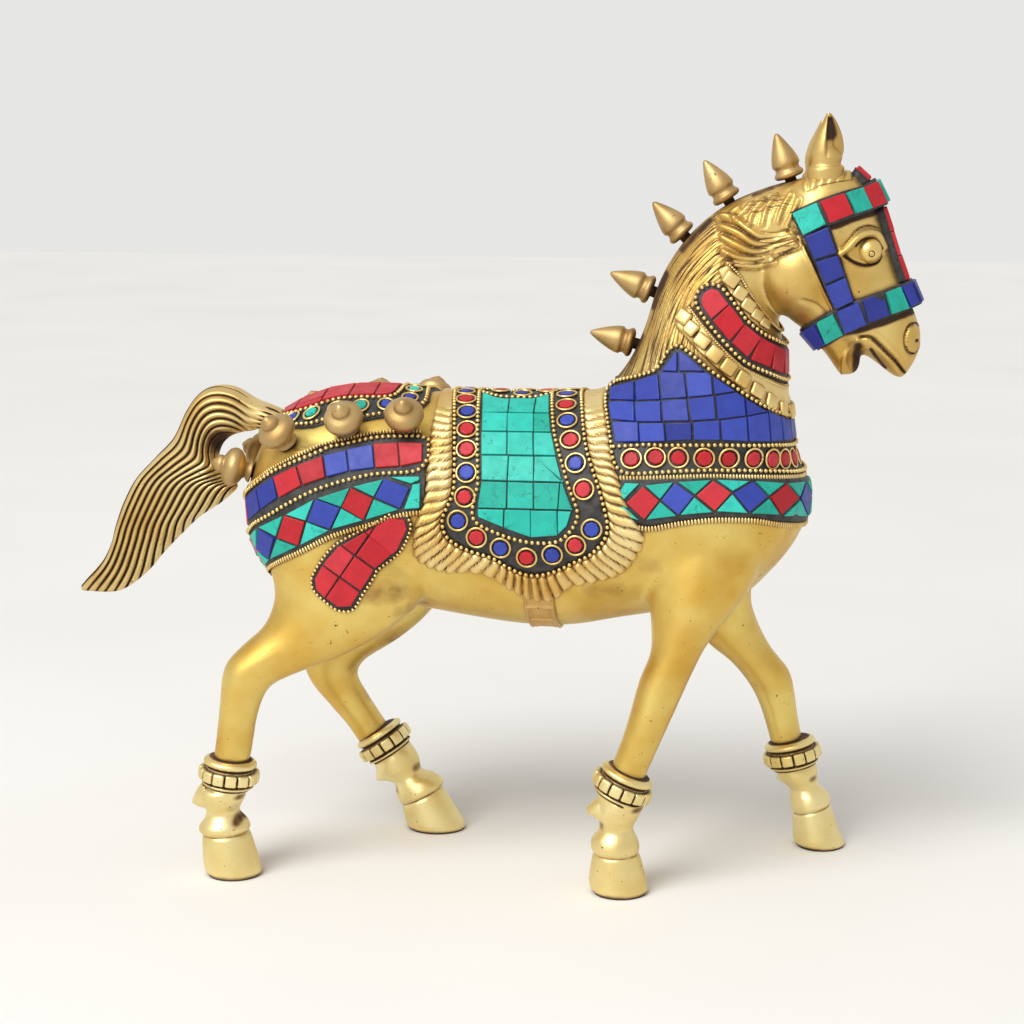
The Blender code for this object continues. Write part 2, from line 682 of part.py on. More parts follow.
def seat_on(tree, inside, direction, foot=0.0):
    """Seat and mean facing of the casting where a line from inside it, in millimetres, comes out.

    Eight more lines around the first one, at the radius of the piece's foot, find the highest
    ground below that foot, and the seat is raised to it.
    """
    way = Vector(direction).normalized()
    start = Vector(inside)
    side_way = way.orthogonal().normalized()
    places, facing = [], Vector()
    for step in range(9):
        around = Matrix.Rotation(math.pi * step / 4, 3, way) @ side_way * (foot if step else 0.0)
        place, normal, _, _ = tree.ray_cast((start + around + way * 200) * MM, -way, 0.4)
        places.append(place / MM)
        facing += normal
    facing.normalize()
    rise = max((place - places[0]).dot(facing) for place in places)
    return places[0] + facing * max(rise, 0.0), facing


def make_foot(leg, side):
    """Anklet, fetlock, pastern and hoof as one lofted form along the leg's own line."""
    (top_x, top_z), (low_x, low_z) = FEET[leg]["anklet"]
    top, low = Vector((top_x, top_z)), Vector((low_x, low_z))
    along = (low - top).normalized()
    across = Vector((-along.y, along.x))
    length = (low - top).length
    rings = [
        (0.0, 0.70), (0.06, 0.86), (0.22, 0.88), (0.30, 0.80), (0.36, 0.97), (0.50, 1.0),
        (0.66, 0.97), (0.72, 0.80), (0.80, 0.88), (0.94, 0.86), (1.0, 0.76),
    ]
    stations = []
    for share, size in rings:
        centre = top + along * length * share
        reach = across * ANKLET_RADIUS * size
        stations.append((tuple(centre + reach), tuple(centre - reach), side, ANKLET_RADIUS * size))
    for back, front, half in FEET[leg]["foot"]:
        stations.append((front, back, side, half))
    (back_x, _), (front_x, _), half = FEET[leg]["foot"][-1]
    stations.append(((front_x, -SOLE_DEPTH), (back_x, -SOLE_DEPTH), side, half))
    foot = loft("form_foot_" + leg, stations, sides=12, steps=1)
    (root_x, root_z), (tip_x, tip_z) = TUFTS[leg]
    tuft = loft(
        "form_tuft_" + leg,
        [
            ((root_x, root_z + 2.5), (root_x + 2.5, root_z - 4), side, TUFT_RADIUS),
            ((tip_x, tip_z + 1.0), (tip_x + 0.8, tip_z - 0.6), side, TUFT_RADIUS * 0.4),
        ],
        sides=8,
        steps=1,
    )
    return join_solid(foot, tuft)


def part_castings(casting):
    """Parts the blended form at its brazed joints and hollows what is cast hollow."""
    names = {}
    neck_cut = side_prism("cut_neck", grown(NECK_REGION, BRAZE_GAP / 2))
    neck_keep = side_prism("keep_neck", grown(NECK_REGION, -BRAZE_GAP / 2))
    head_cut = side_prism("cut_head", grown(HEAD_REGION, BRAZE_GAP / 2))
    head_keep = side_prism("keep_head", grown(HEAD_REGION, -BRAZE_GAP / 2))
    barrel_hollow = loft("form_barrel_hollow", BARREL[2:-2], sides=14, steps=1, inset=WALL)
    neck_hollow = loft("form_neck_hollow", NECK[:-2], sides=12, steps=1, inset=WALL)

    torso = copy_of(casting, "torso_casting")
    cut(torso, neck_cut, barrel_hollow, neck_hollow)
    neck = within(copy_of(casting, "neck_casting"), neck_keep)
    cut(neck, head_cut, neck_hollow)
    head = within(copy_of(casting, "head_casting"), head_keep)
    cut(head, neck_hollow)
    names.update(torso=torso, neck=neck, head=head)

    reach, depth = FLOOR_REACH, FLOOR_DEPTH
    floor = side_prism("cut_floor", [(-reach, 0), (reach, 0), (reach, -depth), (-reach, -depth)])
    for leg, outline in LEG_CUTS.items():
        side = -STANCE if leg.startswith("near") else STANCE
        low, high = (-PANEL_OVERSHOOT, 0) if side < 0 else (0, PANEL_OVERSHOOT)
        cut(torso, side_prism("cut_" + leg, grown(outline, BRAZE_GAP / 2), low, high))
        piece = copy_of(casting, leg + "_leg")
        within(piece, side_prism("keep_" + leg, grown(outline, -BRAZE_GAP / 2), low, high))
        join_solid(piece, make_foot(leg, side))
        cut(piece, floor)
        first, second = Vector(outline[0]), Vector(outline[1])
        slope = (second - first).normalized()
        upward = Vector((-slope.y, 0, slope.x))
        if upward.z < 0:
            upward = -upward
        seat = placed_point(*LEG_TENONS[leg])
        tenon = rod("tenon_" + leg, seat - upward * TENON_LENGTH, upward, TENON_RADIUS, 2 * TENON_LENGTH)
        join_solid(piece, tenon)
        socket = rod(
            "socket_" + leg, seat - upward * TENON_LENGTH, upward, TENON_RADIUS + BRAZE_GAP,
            2 * TENON_LENGTH + 1,
        )
        cut(torso, socket)
        names[leg] = piece
    return names


def plug(name, profile, seat, way, finish=BRIGHT_BRASS):
    """A turned piece with a stud below it, and the drill that makes its hole."""
    way = Vector(way).normalized()
    stem = [(0, -STUD_LENGTH), (STUD_RADIUS, -STUD_LENGTH), (STUD_RADIUS, profile[0][1])]
    piece = turned(name, stem + profile, seat, way, sides=8, finish=finish)
    depth = STUD_LENGTH + DRILL_SPARE
    drill = rod(
        "drill_" + name, Vector(seat) - way * depth, way, STUD_RADIUS + BRAZE_GAP, 2 * depth, sides=8
    )
    return piece, drill


def add_studs(tree, castings):
    """Five finials along the mane crest and four bells on each side of the rump."""
    for number, (foot, tip) in enumerate(FINIALS, 1):
        (foot_x, foot_z), (tip_x, tip_z) = placed(*foot), placed(*tip)
        way = Vector((tip_x - foot_x, 0, tip_z - foot_z)).normalized()
        inside = Vector((foot_x, 0, foot_z)) - way * NECK_CORE
        seat, _ = seat_on(tree, inside, way, STUD_RADIUS)
        _, drill = plug(f"mane_finial_{number}", FINIAL_PROFILE, seat, way)
        cut(castings["head" if number == len(FINIALS) else "neck"], drill)
    spots = []
    for x, degrees in BELLS:
        lift = math.radians(degrees)
        spots.append((placed_point(x, 0, BELL_AXIS_Z), (0, -math.cos(lift), math.sin(lift))))
    spots.append((placed_point(*TAIL_BELL_INSIDE), TAIL_BELL_WAY))
    for number, (inside, way) in enumerate(spots, 1):
        for side, turn in (("near", (1, 1, 1)), ("far", (1, -1, 1))):
            line = [a * b for a, b in zip(way, turn)]
            seat, facing = seat_on(tree, [a * b for a, b in zip(inside, turn)], line, BELL_PROFILE[0][0])
            _, drill = plug(f"{side}_bell_{number}", BELL_PROFILE, seat, facing)
            cut(castings["torso"], drill)


def add_tail(casting, castings):
    """The tail plume, seated on the rump and held by a tenon."""
    tail = loft("tail_casting", TAIL, sides=12, steps=1)
    cut(tail, grown_casting(casting, BRAZE_GAP))
    inward = Vector(TAIL_INWARD)
    start = placed_point(*TAIL_SEAT) - inward.normalized() * TENON_LENGTH / 2
    join_solid(tail, rod("tenon_tail", start, inward, TENON_RADIUS, 2 * TENON_LENGTH))
    cut(castings["torso"], rod("socket_tail", start, inward, TENON_RADIUS + BRAZE_GAP, 2 * TENON_LENGTH + 1))
    return helper(loft("form_tail_room", TAIL, sides=14, steps=1, inset=-BRAZE_GAP))


def add_ears(casting, castings):
    """Two scooped ears with ring feet, each on a peg in the poll."""
    over = grown_casting(casting, BRAZE_GAP)
    shift_x, shift_z = EAR_FAR_SHIFT
    for name, side, move in (("near_ear", -1, (0, 0)), ("far_ear", 1, (shift_x, shift_z))):
        stations = []
        for (fx, fz), (bx, bz), _, half in EAR:
            front = (fx + move[0], fz + move[1])
            back = (bx + move[0], bz + move[1])
            stations.append((front, back, side * EAR_SPREAD, half))
        ear = loft(name, stations, sides=12, steps=1)
        x, y, z = EAR_SCOOP_CENTRE
        scoop = placed_point(x + move[0], side * (EAR_SPREAD - y), z + move[1])
        hollow = ball("scoop_" + name, scoop, EAR_SCOOP_RADII)
        cut(ear, hollow, over)
        foot = placed_point(EAR_PEG_FOOT[0] + move[0], side * EAR_SPREAD, EAR_PEG_FOOT[1])
        up = (0, 0, 1)
        join_solid(ear, rod("peg_" + name, foot, up, EAR_PEG_RADIUS, EAR_PEG_LENGTH))
        drop = Vector((0, 0, DRILL_SPARE))
        hole = rod("hole_" + name, foot - drop, up, EAR_PEG_RADIUS + BRAZE_GAP, EAR_PEG_LENGTH + 4)
        cut(castings["head"], hole)


def add_saddle(shell, skirt):
    border = panel("saddle_ring_border", shell, SADDLE_BORDER, LAC)
    edge = SEAT_HALF_WIDTH
    spans = {"near": (-PANEL_OVERSHOOT, -edge), "far": (edge, PANEL_OVERSHOOT)}
    for side, (low, high) in spans.items():
        panel(f"saddle_turquoise_{side}", shell, SADDLE_FIELD, TURQUOISE, low, high)
        window = side_prism(
            "window_" + side, grown(SADDLE_FIELD, BRAZE_GAP), low - BRAZE_GAP, high + BRAZE_GAP
        )
        cut(border, window)
    panel("saddle_fringe", skirt, SADDLE_FRINGE, BRIGHT_BRASS, holes=[SADDLE_BORDER])
    panel("girth_strap", skirt, GIRTH, BRASS, holes=[SADDLE_FRINGE])


def add_chest_and_collar(shell, skirt):
    panel("chest_lapis_panel", shell, CHEST_LAPIS, LAPIS, holes=[SADDLE_FRINGE, COLLAR_LOWER])
    panel("chest_ring_band", shell, CHEST_RINGS, LAC, holes=[SADDLE_FRINGE])
    panel("chest_diamond_band", shell, CHEST_DIAMONDS, CORAL, holes=[SADDLE_FRINGE])
    panel("collar_coral_band", shell, COLLAR_CORAL, CORAL)
    panel("collar_upper_bosses", skirt, COLLAR_UPPER, BRIGHT_BRASS, holes=[COLLAR_CORAL])
    panel("collar_lower_bosses", skirt, COLLAR_LOWER, BRIGHT_BRASS, holes=[COLLAR_CORAL])


def add_rump(shell, tail_room):
    strip = panel(
        "rump_coral_strip", shell, side_box(RUMP_CORAL_REAR, RUMP_CORAL_FRONT), CORAL,
        -RUMP_CORAL_HALF, RUMP_CORAL_HALF,
    )
    rings = panel(
        "rump_ring_border", shell, side_box(RUMP_CORAL_REAR, RUMP_RINGS_FRONT), LAC,
        -RUMP_RINGS_HALF, RUMP_RINGS_HALF,
    )
    spare = WINDOW_SPARE
    inner = side_box(
        RUMP_CORAL_REAR - spare, RUMP_CORAL_FRONT + BRAZE_GAP, CREST_LOW - spare, CREST_HIGH + spare
    )
    reach = RUMP_CORAL_HALF + BRAZE_GAP
    cut(rings, side_prism("inner_rump_rings", inner, -reach, reach))
    cut(strip, tail_room)
    panel("rump_coral_lapis_band", shell, RUMP_BAND, LAPIS)
    panel("rump_diamond_band", shell, RUMP_DIAMONDS, TURQUOISE)
    panel("thigh_drop_near", shell, THIGH_DROP, CORAL, high=0, holes=[RUMP_DIAMONDS])
    panel("thigh_drop_far", shell, THIGH_DROP, CORAL, low=0, holes=[RUMP_DIAMONDS])


def add_bridle(leather, ridge):
    edge = FACE_STRAP_HALF
    panel("face_strap", ridge, FACE_STRAP, CORAL, -edge, edge, holes=[NOSEBAND])
    clear = edge + BRAZE_GAP
    panel("near_browband", leather, BROWBAND, TURQUOISE, high=-clear)
    panel("far_browband", leather, BROWBAND, TURQUOISE, low=clear)
    panel("near_cheekpiece", leather, CHEEKPIECE, LAPIS, high=0, holes=[BROWBAND, NOSEBAND])
    panel("far_cheekpiece", leather, CHEEKPIECE, LAPIS, low=0, holes=[BROWBAND, NOSEBAND])
    panel("noseband", leather, NOSEBAND, LAPIS)


def centre_on_origin():
    """Moves the whole horse so that the middle of its length and width is over the origin."""
    solids = [obj for obj in bpy.context.scene.objects if not obj.hide_render]
    corners = [Vector(corner) for obj in solids for corner in obj.bound_box]
    middle = [
        (min(corner[axis] for corner in corners) + max(corner[axis] for corner in corners)) / 2
        for axis in (0, 1)
    ]
    shift = Matrix.Translation((-middle[0], -middle[1], 0))
    for obj in solids:
        obj.data.transform(shift)
    print("middle of the outlines, mm:", [round(value / MM, 3) for value in middle])


def main():
    clear_scene()
    casting = blended_casting()
    tree = surface_tree(casting)
    castings = part_castings(casting)
    add_studs(tree, castings)
    tail_room = add_tail(casting, castings)
    add_ears(casting, castings)
    shell = laid_over(casting, PANEL_THICK)
    skirt = laid_over(casting, SKIRT_THICK)
    add_saddle(shell, skirt)
    add_chest_and_collar(shell, skirt)
    add_rump(shell, tail_room)
    add_bridle(laid_over(casting, BRIDLE_THICK), laid_over(casting, FACE_STRAP_THICK))
    centre_on_origin()


main()
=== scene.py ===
import math
import random

import bmesh
import bpy
import numpy as np
from mathutils import Matrix, Vector
from mathutils.bvhtree import BVHTree


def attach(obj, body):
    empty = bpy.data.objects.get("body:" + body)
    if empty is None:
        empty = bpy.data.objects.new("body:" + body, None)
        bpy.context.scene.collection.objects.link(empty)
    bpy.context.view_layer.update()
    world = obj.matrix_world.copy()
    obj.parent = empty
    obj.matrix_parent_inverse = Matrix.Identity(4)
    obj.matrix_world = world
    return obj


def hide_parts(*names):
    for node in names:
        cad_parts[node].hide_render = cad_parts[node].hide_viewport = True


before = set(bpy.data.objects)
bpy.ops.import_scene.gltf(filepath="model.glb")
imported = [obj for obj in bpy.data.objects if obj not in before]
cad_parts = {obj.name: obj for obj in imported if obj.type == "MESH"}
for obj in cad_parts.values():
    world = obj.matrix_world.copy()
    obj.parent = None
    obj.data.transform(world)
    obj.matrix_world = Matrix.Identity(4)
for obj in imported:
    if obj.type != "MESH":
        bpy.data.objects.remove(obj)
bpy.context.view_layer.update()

# Body and legs
# Lost-wax cast brass, hollow, filed and rubbed down to a soft yellow polish. The wax forms
# run into each other without a seam, so the ovals below are lofted and then blended.
MM = 0.001

# Each row is an oval: x and z of its two edge points in side view, its middle y, its half width
barrel = [
    (-85.1, 140, -85.1, 128, 0, 7),
    (-82.1, 151, -82.5, 116, 0, 21),
    (-76.5, 160.5, -77.5, 107, 0, 29),
    (-67.5, 167.5, -68.5, 101, 0, 34),
    (-55.5, 172, -56.5, 98, 0, 37),
    (-40.5, 174, -40.5, 96.5, 0, 38),
    (-22.5, 172.8, -22.5, 94.5, 0, 37.5),
    (-6.5, 172.2, -6.5, 92, 0, 37),
    (13.5, 172.2, 13.5, 89.5, 0, 37),
    (31.5, 172.6, 31.5, 89.5, 0, 37),
    (47.5, 174, 47.5, 92.5, 0, 37),
    (61.5, 175, 61.5, 95, 0, 37),
    (77.5, 171, 77.5, 97.5, 0, 36.5),
    (91.5, 165, 91.5, 101, 0, 34),
    (102.5, 158, 101.5, 110, 0, 28.5),
    (109.5, 152, 109, 119, 0, 21),
    (113.5, 146, 113.5, 127, 0, 12),
    (115, 140, 115, 132, 0, 5),
]
neck = [
    (33.5, 164, 105.5, 128, 0, 30),
    (44.5, 176, 109.5, 150, 0, 32),
    (52.5, 187, 108.5, 163, 0, 29.5),
    (57.5, 199, 106.5, 176, 0, 26),
    (61, 211, 106, 189, 0, 22),
    (66.5, 222, 103.5, 202, 0, 19),
    (74.5, 232, 104.5, 212, 0, 17),
    (85.5, 240.5, 109.5, 221, 0, 16),
    (99.5, 246.5, 117.5, 228, 0, 15.5),
    (113.5, 250, 123.5, 232, 0, 14),
]
skull = [
    (117.5, 253, 104.5, 246, 0, 9),
    (125.5, 252.5, 102.5, 241, 0, 15),
    (132.5, 247.5, 100.5, 231, 0, 18),
    (137, 239, 99.5, 220, 0, 18.5),
    (140.5, 229, 100.5, 209, 0, 18),
    (144, 219, 106.5, 201.5, 0, 16),
    (147.5, 210.5, 115.5, 195, 0, 14),
    (150.5, 204, 123.5, 191, 0, 12.5),
    (152.7, 197, 132.5, 189, 0, 11.5),
    (152.5, 190, 137, 186.5, 0, 10),
    (149, 183, 141.5, 183, 0, 6.5),
    (147, 180.5, 144.5, 181, 0, 3),
]
jaw = [
    (123.5, 204, 109.5, 204, 0, 11),
    (127.5, 197, 114.5, 195, 0, 10.5),
    (131, 191, 120, 189, 0, 9),
    (132.5, 186, 123.5, 184, 0, 7.5),
    (131, 182, 125.5, 181.2, 0, 4.5),
]
legs = {
    "near_fore": [
        (97.5, 138, 59.5, 140, -20, 12),
        (100.5, 121, 59.5, 118, -22, 14),
        (95.5, 107, 61.5, 103, -24, 14),
        (87.5, 96.5, 62.5, 94, -26, 12.5),
        (81.5, 88, 62.5, 86, -28, 10.8),
        (75.5, 75, 59, 77, -30, 9.2),
        (71.5, 65.5, 56.5, 67.5, -31.5, 8.6),
        (67, 55, 54, 58.5, -33, 7.3),
        (63, 45.5, 51, 50, -33, 6.7),
        (60, 38, 48.5, 43, -33, 6.7),
    ],
    "far_fore": [
        (97.5, 138, 59.5, 140, 20, 12),
        (100.5, 121, 59.5, 118, 22, 14),
        (96.5, 107, 63.5, 101, 24, 14),
        (94.5, 95, 70.5, 89, 26, 12),
        (97.5, 84.5, 78.5, 77.5, 28.5, 10.5),
        (102.5, 75, 86.5, 71, 30, 9.4),
        (108.8, 67, 93, 63, 31.5, 8.8),
        (111, 58, 97, 55.5, 33, 7.6),
        (112.5, 48, 100, 47, 33, 6.8),
        (114.5, 39, 102.5, 38, 33, 6.7),
    ],
    "near_hind": [
        (-40.5, 156, -70.5, 156, -21, 13),
        (-27.5, 139, -79, 140, -22.5, 15.5),
        (-20.5, 120, -78.5, 122, -23.5, 16),
        (-17.5, 104, -73.5, 110, -24.5, 15.5),
        (-30.5, 90.5, -72, 101, -26.5, 13.5),
        (-46.5, 81.5, -75.5, 91.5, -28.5, 11.5),
        (-61.5, 75.5, -83.5, 84, -30.5, 9.8),
        (-72.5, 70, -89.5, 76.5, -32, 8.8),
        (-77, 61, -91, 64, -33, 7.5),
        (-79, 51, -92.5, 52, -33, 6.8),
        (-80.5, 42, -94, 42, -33, 6.8),
    ],
    "far_hind": [
        (-40.5, 156, -70.5, 156, 21, 13),
        (-27.5, 139, -78.5, 140, 22.5, 15.5),
        (-20.5, 120, -76.5, 121, 23.5, 16),
        (-16.5, 102, -69.5, 103, 24.5, 15),
        (-25.5, 86, -69.5, 91, 26.5, 13),
        (-38.5, 74.5, -73, 80, 28.5, 11.5),
        (-50.5, 66.5, -76, 69, 30.5, 9.8),
        (-55, 60, -73.5, 57.5, 32, 8.8),
        (-52, 53, -66, 47.5, 33, 7.4),
        (-47.5, 46, -59, 39.5, 33, 6.8),
        (-42.5, 38.5, -54, 32, 33, 6.8),
    ],
}


def between(a, b, c, d, t):
    """A number or vector on the smooth curve from b to c, which a and d lead into and out of."""
    return 0.5 * (
        2 * b + (c - a) * t + (2 * a - 5 * b + 4 * c - d) * t * t + (3 * b - a - 3 * c + d) * t**3
    )


def smoothed(rows, steps=4):
    """Rows of numbers as vectors, with steps - 1 more on a smooth curve between each two."""
    rows = [Vector(row) for row in rows]
    ends = [rows[0], *rows, rows[-1]]
    made = [
        between(*ends[i : i + 4], k / steps) for i in range(len(rows) - 1) for k in range(steps)
    ]
    return [*made, rows[-1]]


def loft(bm, stations, sides=32, steps=3):
    """A closed form through oval rings: two edge points in side view, middle y, half width, in mm."""
    rings = []
    for x1, z1, x2, z2, middle, half in smoothed(stations, steps):
        reach = Vector((x1 - x2, 0, z1 - z2)) / 2
        across = Vector((0, half, 0))
        place = Matrix.Translation(Vector(((x1 + x2) / 2, middle, (z1 + z2) / 2)) * MM)
        turn = Matrix((reach * MM, across * MM, reach.cross(across).normalized())).transposed()
        made = bmesh.ops.create_circle(
            bm, segments=sides, radius=1, matrix=place @ turn.to_4x4(), cap_ends=False
        )["verts"]
        rings.append({edge for vert in made for edge in vert.link_edges})
    for low, high in zip(rings, rings[1:]):
        bmesh.ops.bridge_loops(bm, edges=[*low, *high])
    for ring in (rings[0], rings[-1]):
        bmesh.ops.edgeloop_fill(bm, edges=list(ring))


def piece(name, bm, material=None, smooth=True):
    """A finished mesh as an object that rides with the horse."""
    bmesh.ops.recalc_face_normals(bm, faces=bm.faces)
    mesh = bpy.data.meshes.new(name)
    bm.to_mesh(mesh)
    bm.free()
    mesh.polygons.foreach_set("use_smooth", [smooth] * len(mesh.polygons))
    obj = bpy.data.objects.new(name, mesh)
    bpy.context.scene.collection.objects.link(obj)
    if material is not None:
        mesh.materials.append(material)
        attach(obj, "root")
    return obj


def blended(bm, voxel, passes):
    """Runs overlapping forms together at a voxel size in mm, and smooths them as a wax is smoothed."""
    rough = piece("rough_form", bm)
    merge = rough.modifiers.new("merge", "REMESH")
    merge.mode = "VOXEL"
    merge.voxel_size = voxel * MM
    rub = rough.modifiers.new("rub", "SMOOTH")
    rub.factor = 0.5
    rub.iterations = passes
    graph = bpy.context.evaluated_depsgraph_get()
    mesh = bpy.data.meshes.new_from_object(rough.evaluated_get(graph), depsgraph=graph)
    bpy.data.objects.remove(rough)
    made = bmesh.new()
    made.from_mesh(mesh)
    bpy.data.meshes.remove(mesh)
    return made


CHEEK_MIDDLE = (111, 0, 218.5)
CHEEK_HALF_SIZE = (17.5, 20.5, 17.5)
SMOOTHING_PASSES = 23  # at a voxel of 1 mm; a finer grid needs more of them to be as soft


def cast_form(voxel, torso, limbs):
    """The casting with so much of its barrel and legs, equally soft at any voxel size."""
    bm = bmesh.new()
    for stations, sides in ((torso, 48), (neck, 40), (skull, 36), (jaw, 24)):
        loft(bm, stations, sides)
    for stations in limbs.values():
        loft(bm, stations, 28)
    place = Matrix.Translation(Vector(CHEEK_MIDDLE) * MM)
    cheek = Matrix.Diagonal((*[half * MM for half in CHEEK_HALF_SIZE], 1))
    bmesh.ops.create_uvsphere(bm, u_segments=40, v_segments=24, radius=1, matrix=place @ cheek)
    return blended(bm, voxel, round(SMOOTHING_PASSES / voxel**2))


def parted(bm, point, normal):
    """Keeps the side of a casting that the plane's normal points away from, and closes it."""
    everything = [*bm.verts, *bm.edges, *bm.faces]
    made = bmesh.ops.bisect_plane(
        bm, geom=everything, plane_co=Vector(point) * MM, plane_no=normal, clear_outer=True
    )["geom_cut"]
    rim = [item for item in made if isinstance(item, bmesh.types.BMEdge)]
    bmesh.ops.holes_fill(bm, edges=rim, sides=0)
    return bm


def linear(hex_colour):
    """An sRGB hex colour as linear red, green, blue and alpha."""
    parts = [int(hex_colour[i : i + 2], 16) / 255 for i in (1, 3, 5)]
    return (*[c / 12.92 if c <= 0.04045 else ((c + 0.055) / 1.055) ** 2.4 for c in parts], 1.0)


def node(tree, kind, inputs=None, out=0, stops=(), **settings):
    """Adds a node with its settings, sets or links its inputs, and gives back one of its outputs.

    Text as a value is a hex colour. Stops are a ramp's places, each with its grey or hex colour.
    """
    made = tree.nodes.new(kind)
    for name, value in settings.items():
        setattr(made, name, value)
    for key, value in (inputs or {}).items():
        if isinstance(value, bpy.types.NodeSocket):
            tree.links.new(value, made.inputs[key])
        else:
            made.inputs[key].default_value = linear(value) if isinstance(value, str) else value
    if stops:
        marks = made.color_ramp.elements
        while len(marks) < len(stops):
            marks.new(0.5)
        for mark, (at, value) in zip(marks, stops):
            mark.position = at
            mark.color = linear(value) if isinstance(value, str) else (value, value, value, 1)
    return made.outputs[out]


def new_material(name):
    """A material, its node tree, its shader's inputs, and the place on the piece in metres."""
    material = bpy.data.materials.new(name)
    material.use_nodes = True
    tree = material.node_tree
    place = node(tree, "ShaderNodeTexCoord", out="Object")
    return material, tree, tree.nodes["Principled BSDF"].inputs, place


def old_brass(name, light, deep, dirt_and_shade_colour, reach, grime_and_shade, rough, marked=False, combed=False):
    """Cast brass, brown to black in every crevice and where parts touch: tarnish, and painted shade.

    reach is how far in mm this darkening reaches out of a crevice, and grime_and_shade how strong it
    is. A marked one is also brown to black where the mesh says stain, which holds stains and painted
    shade, and a combed one shows fine dark lines along its UVs where the mesh says mane.
    """
    material, tree, shader, place = new_material(name)
    # Cloudy polish, stains, casting pits and file grain, each by its size in mm
    cloud, stain, pit, grain = [
        node(tree, "ShaderNodeTexNoise", {"Vector": place, "Scale": 1 / (size * MM), "Detail": detail})
        for size, detail in ((22, 3), (7, 6), (1.3, 2), (0.7, 3))
    ]
    # Painted shade from occlusion, dark in every crevice and where parts and the floor touch; it stands for
    # tarnish there too
    crevice = node(tree, "ShaderNodeAmbientOcclusion", {"Distance": reach * MM}, "AO", samples=6)
    depth = node(tree, "ShaderNodeMath", {0: stain, 1: 0.34, 2: crevice}, operation="MULTIPLY_ADD")
    tarnish_and_shade = node(tree, "ShaderNodeValToRGB", {"Fac": depth}, stops=((0.62, 1.0), (1.06, 0.0)))
    spot = node(tree, "ShaderNodeValToRGB", {"Fac": pit}, stops=((0.67, 0.0), (0.73, 0.85)))
    patch = node(tree, "ShaderNodeValToRGB", {"Fac": stain}, stops=((0.48, 0.0), (0.60, 1.0)))
    marks = [
        node(tree, "ShaderNodeMath", {0: tarnish_and_shade, 1: grime_and_shade}, operation="MULTIPLY"),
        node(tree, "ShaderNodeMath", {0: spot, 1: patch}, operation="MULTIPLY"),
    ]
    if marked:
        # The mesh's stain attribute holds stains and painted shade
        told = node(tree, "ShaderNodeAttribute", out="Fac", attribute_name="stain")
        soil = node(tree, "ShaderNodeMath", {0: stain, 1: 0.6, 2: told}, operation="MULTIPLY_ADD")
        marks.append(node(tree, "ShaderNodeValToRGB", {"Fac": soil}, stops=((0.52, 0.0), (1.05, 1.0))))
    if combed:
        # Graver lines 0.8 mm apart across the hair, and 22 times as long
        strands = node(tree, "ShaderNodeUVMap", uv_map="strands")
        fine = node(tree, "ShaderNodeVectorMath", {0: strands, 1: (1.0, 0.045, 1.0)}, operation="MULTIPLY")
        comb = node(tree, "ShaderNodeTexNoise", {"Vector": fine, "Scale": 1 / (0.8 * MM), "Detail": 2.5})
        line = node(tree, "ShaderNodeValToRGB", {"Fac": comb}, stops=((0.38, 1.0), (0.54, 0.0)))
        mane = node(tree, "ShaderNodeAttribute", out="Fac", attribute_name="mane")
        marks.append(node(tree, "ShaderNodeMath", {0: line, 1: mane}, operation="MULTIPLY"))
    mark = marks[0]
    for other in marks[1:]:
        mark = node(tree, "ShaderNodeMath", {0: mark, 1: other}, operation="MAXIMUM")
    # Bright metal turns brown, then black, dull and rough, as a mark deepens
    tone = node(tree, "ShaderNodeValToRGB", {"Fac": cloud}, stops=((0.35, light), (0.68, deep)))
    tone = node(tree, "ShaderNodeMix", {"Factor": mark, 6: tone, 7: "#8C5C28"}, 2, data_type="RGBA")
    black = node(tree, "ShaderNodeValToRGB", {"Fac": mark}, stops=((0.40, 0.0), (0.95, 1.0)))
    tone = node(tree, "ShaderNodeMix", {"Factor": black, 6: tone, 7: dirt_and_shade_colour}, 2, data_type="RGBA")
    metal = node(tree, "ShaderNodeValToRGB", {"Fac": mark}, stops=((0.0, 0.92), (1.0, 0.25)))
    gloss = node(tree, "ShaderNodeMath", {0: cloud, 1: 0.16, 2: rough}, operation="MULTIPLY_ADD")
    gloss = node(tree, "ShaderNodeMath", {0: mark, 1: 0.3, 2: gloss}, operation="MULTIPLY_ADD")
    high = node(tree, "ShaderNodeMath", {0: mark, 1: -0.8, 2: grain}, operation="MULTIPLY_ADD")
    bump = node(tree, "ShaderNodeBump", {"Height": high, "Strength": 0.4, "Distance": 0.12 * MM})
    for key, value in {"Base Color": tone, "Metallic": metal, "Roughness": gloss, "Normal": bump}.items():
        tree.links.new(value, shader[key])
    return material


def stained_and_shaded(obj, darkness):
    """Writes how dark each point is, 0 to 1, for a marked brass: its stains and its painted shade."""
    store = obj.data.attributes.new("stain", "FLOAT", "POINT")
    store.data.foreach_set("value", np.clip(darkness, 0, 1).astype(np.float32))


def fading(away, width=1, power=2):
    """How strong a mark still is at a distance from its middle line: from 1 down to 0."""
    return np.exp(-((away / width) ** power))


def from_oval(flat, x, z, wide, tall):
    """Distance of many side-view points from the middle of an oval, with 1 on its edge."""
    return np.hypot((flat[:, 0] - x) / wide, (flat[:, 1] - z) / tall)


def blotches(flat, patches):
    """Darkness of many side-view points from patches: middle, half sizes in mm, and strength."""
    dark = np.zeros(len(flat))
    for *oval, strength in patches:
        dark = np.maximum(dark, strength * fading(from_oval(flat, *oval), power=3))
    return dark


def side_view(mesh):
    """The points of a mesh in mm, and their x and z alone."""
    spots = np.array([vert.co for vert in mesh.vertices]) / MM
    return spots, spots[:, [0, 2]]


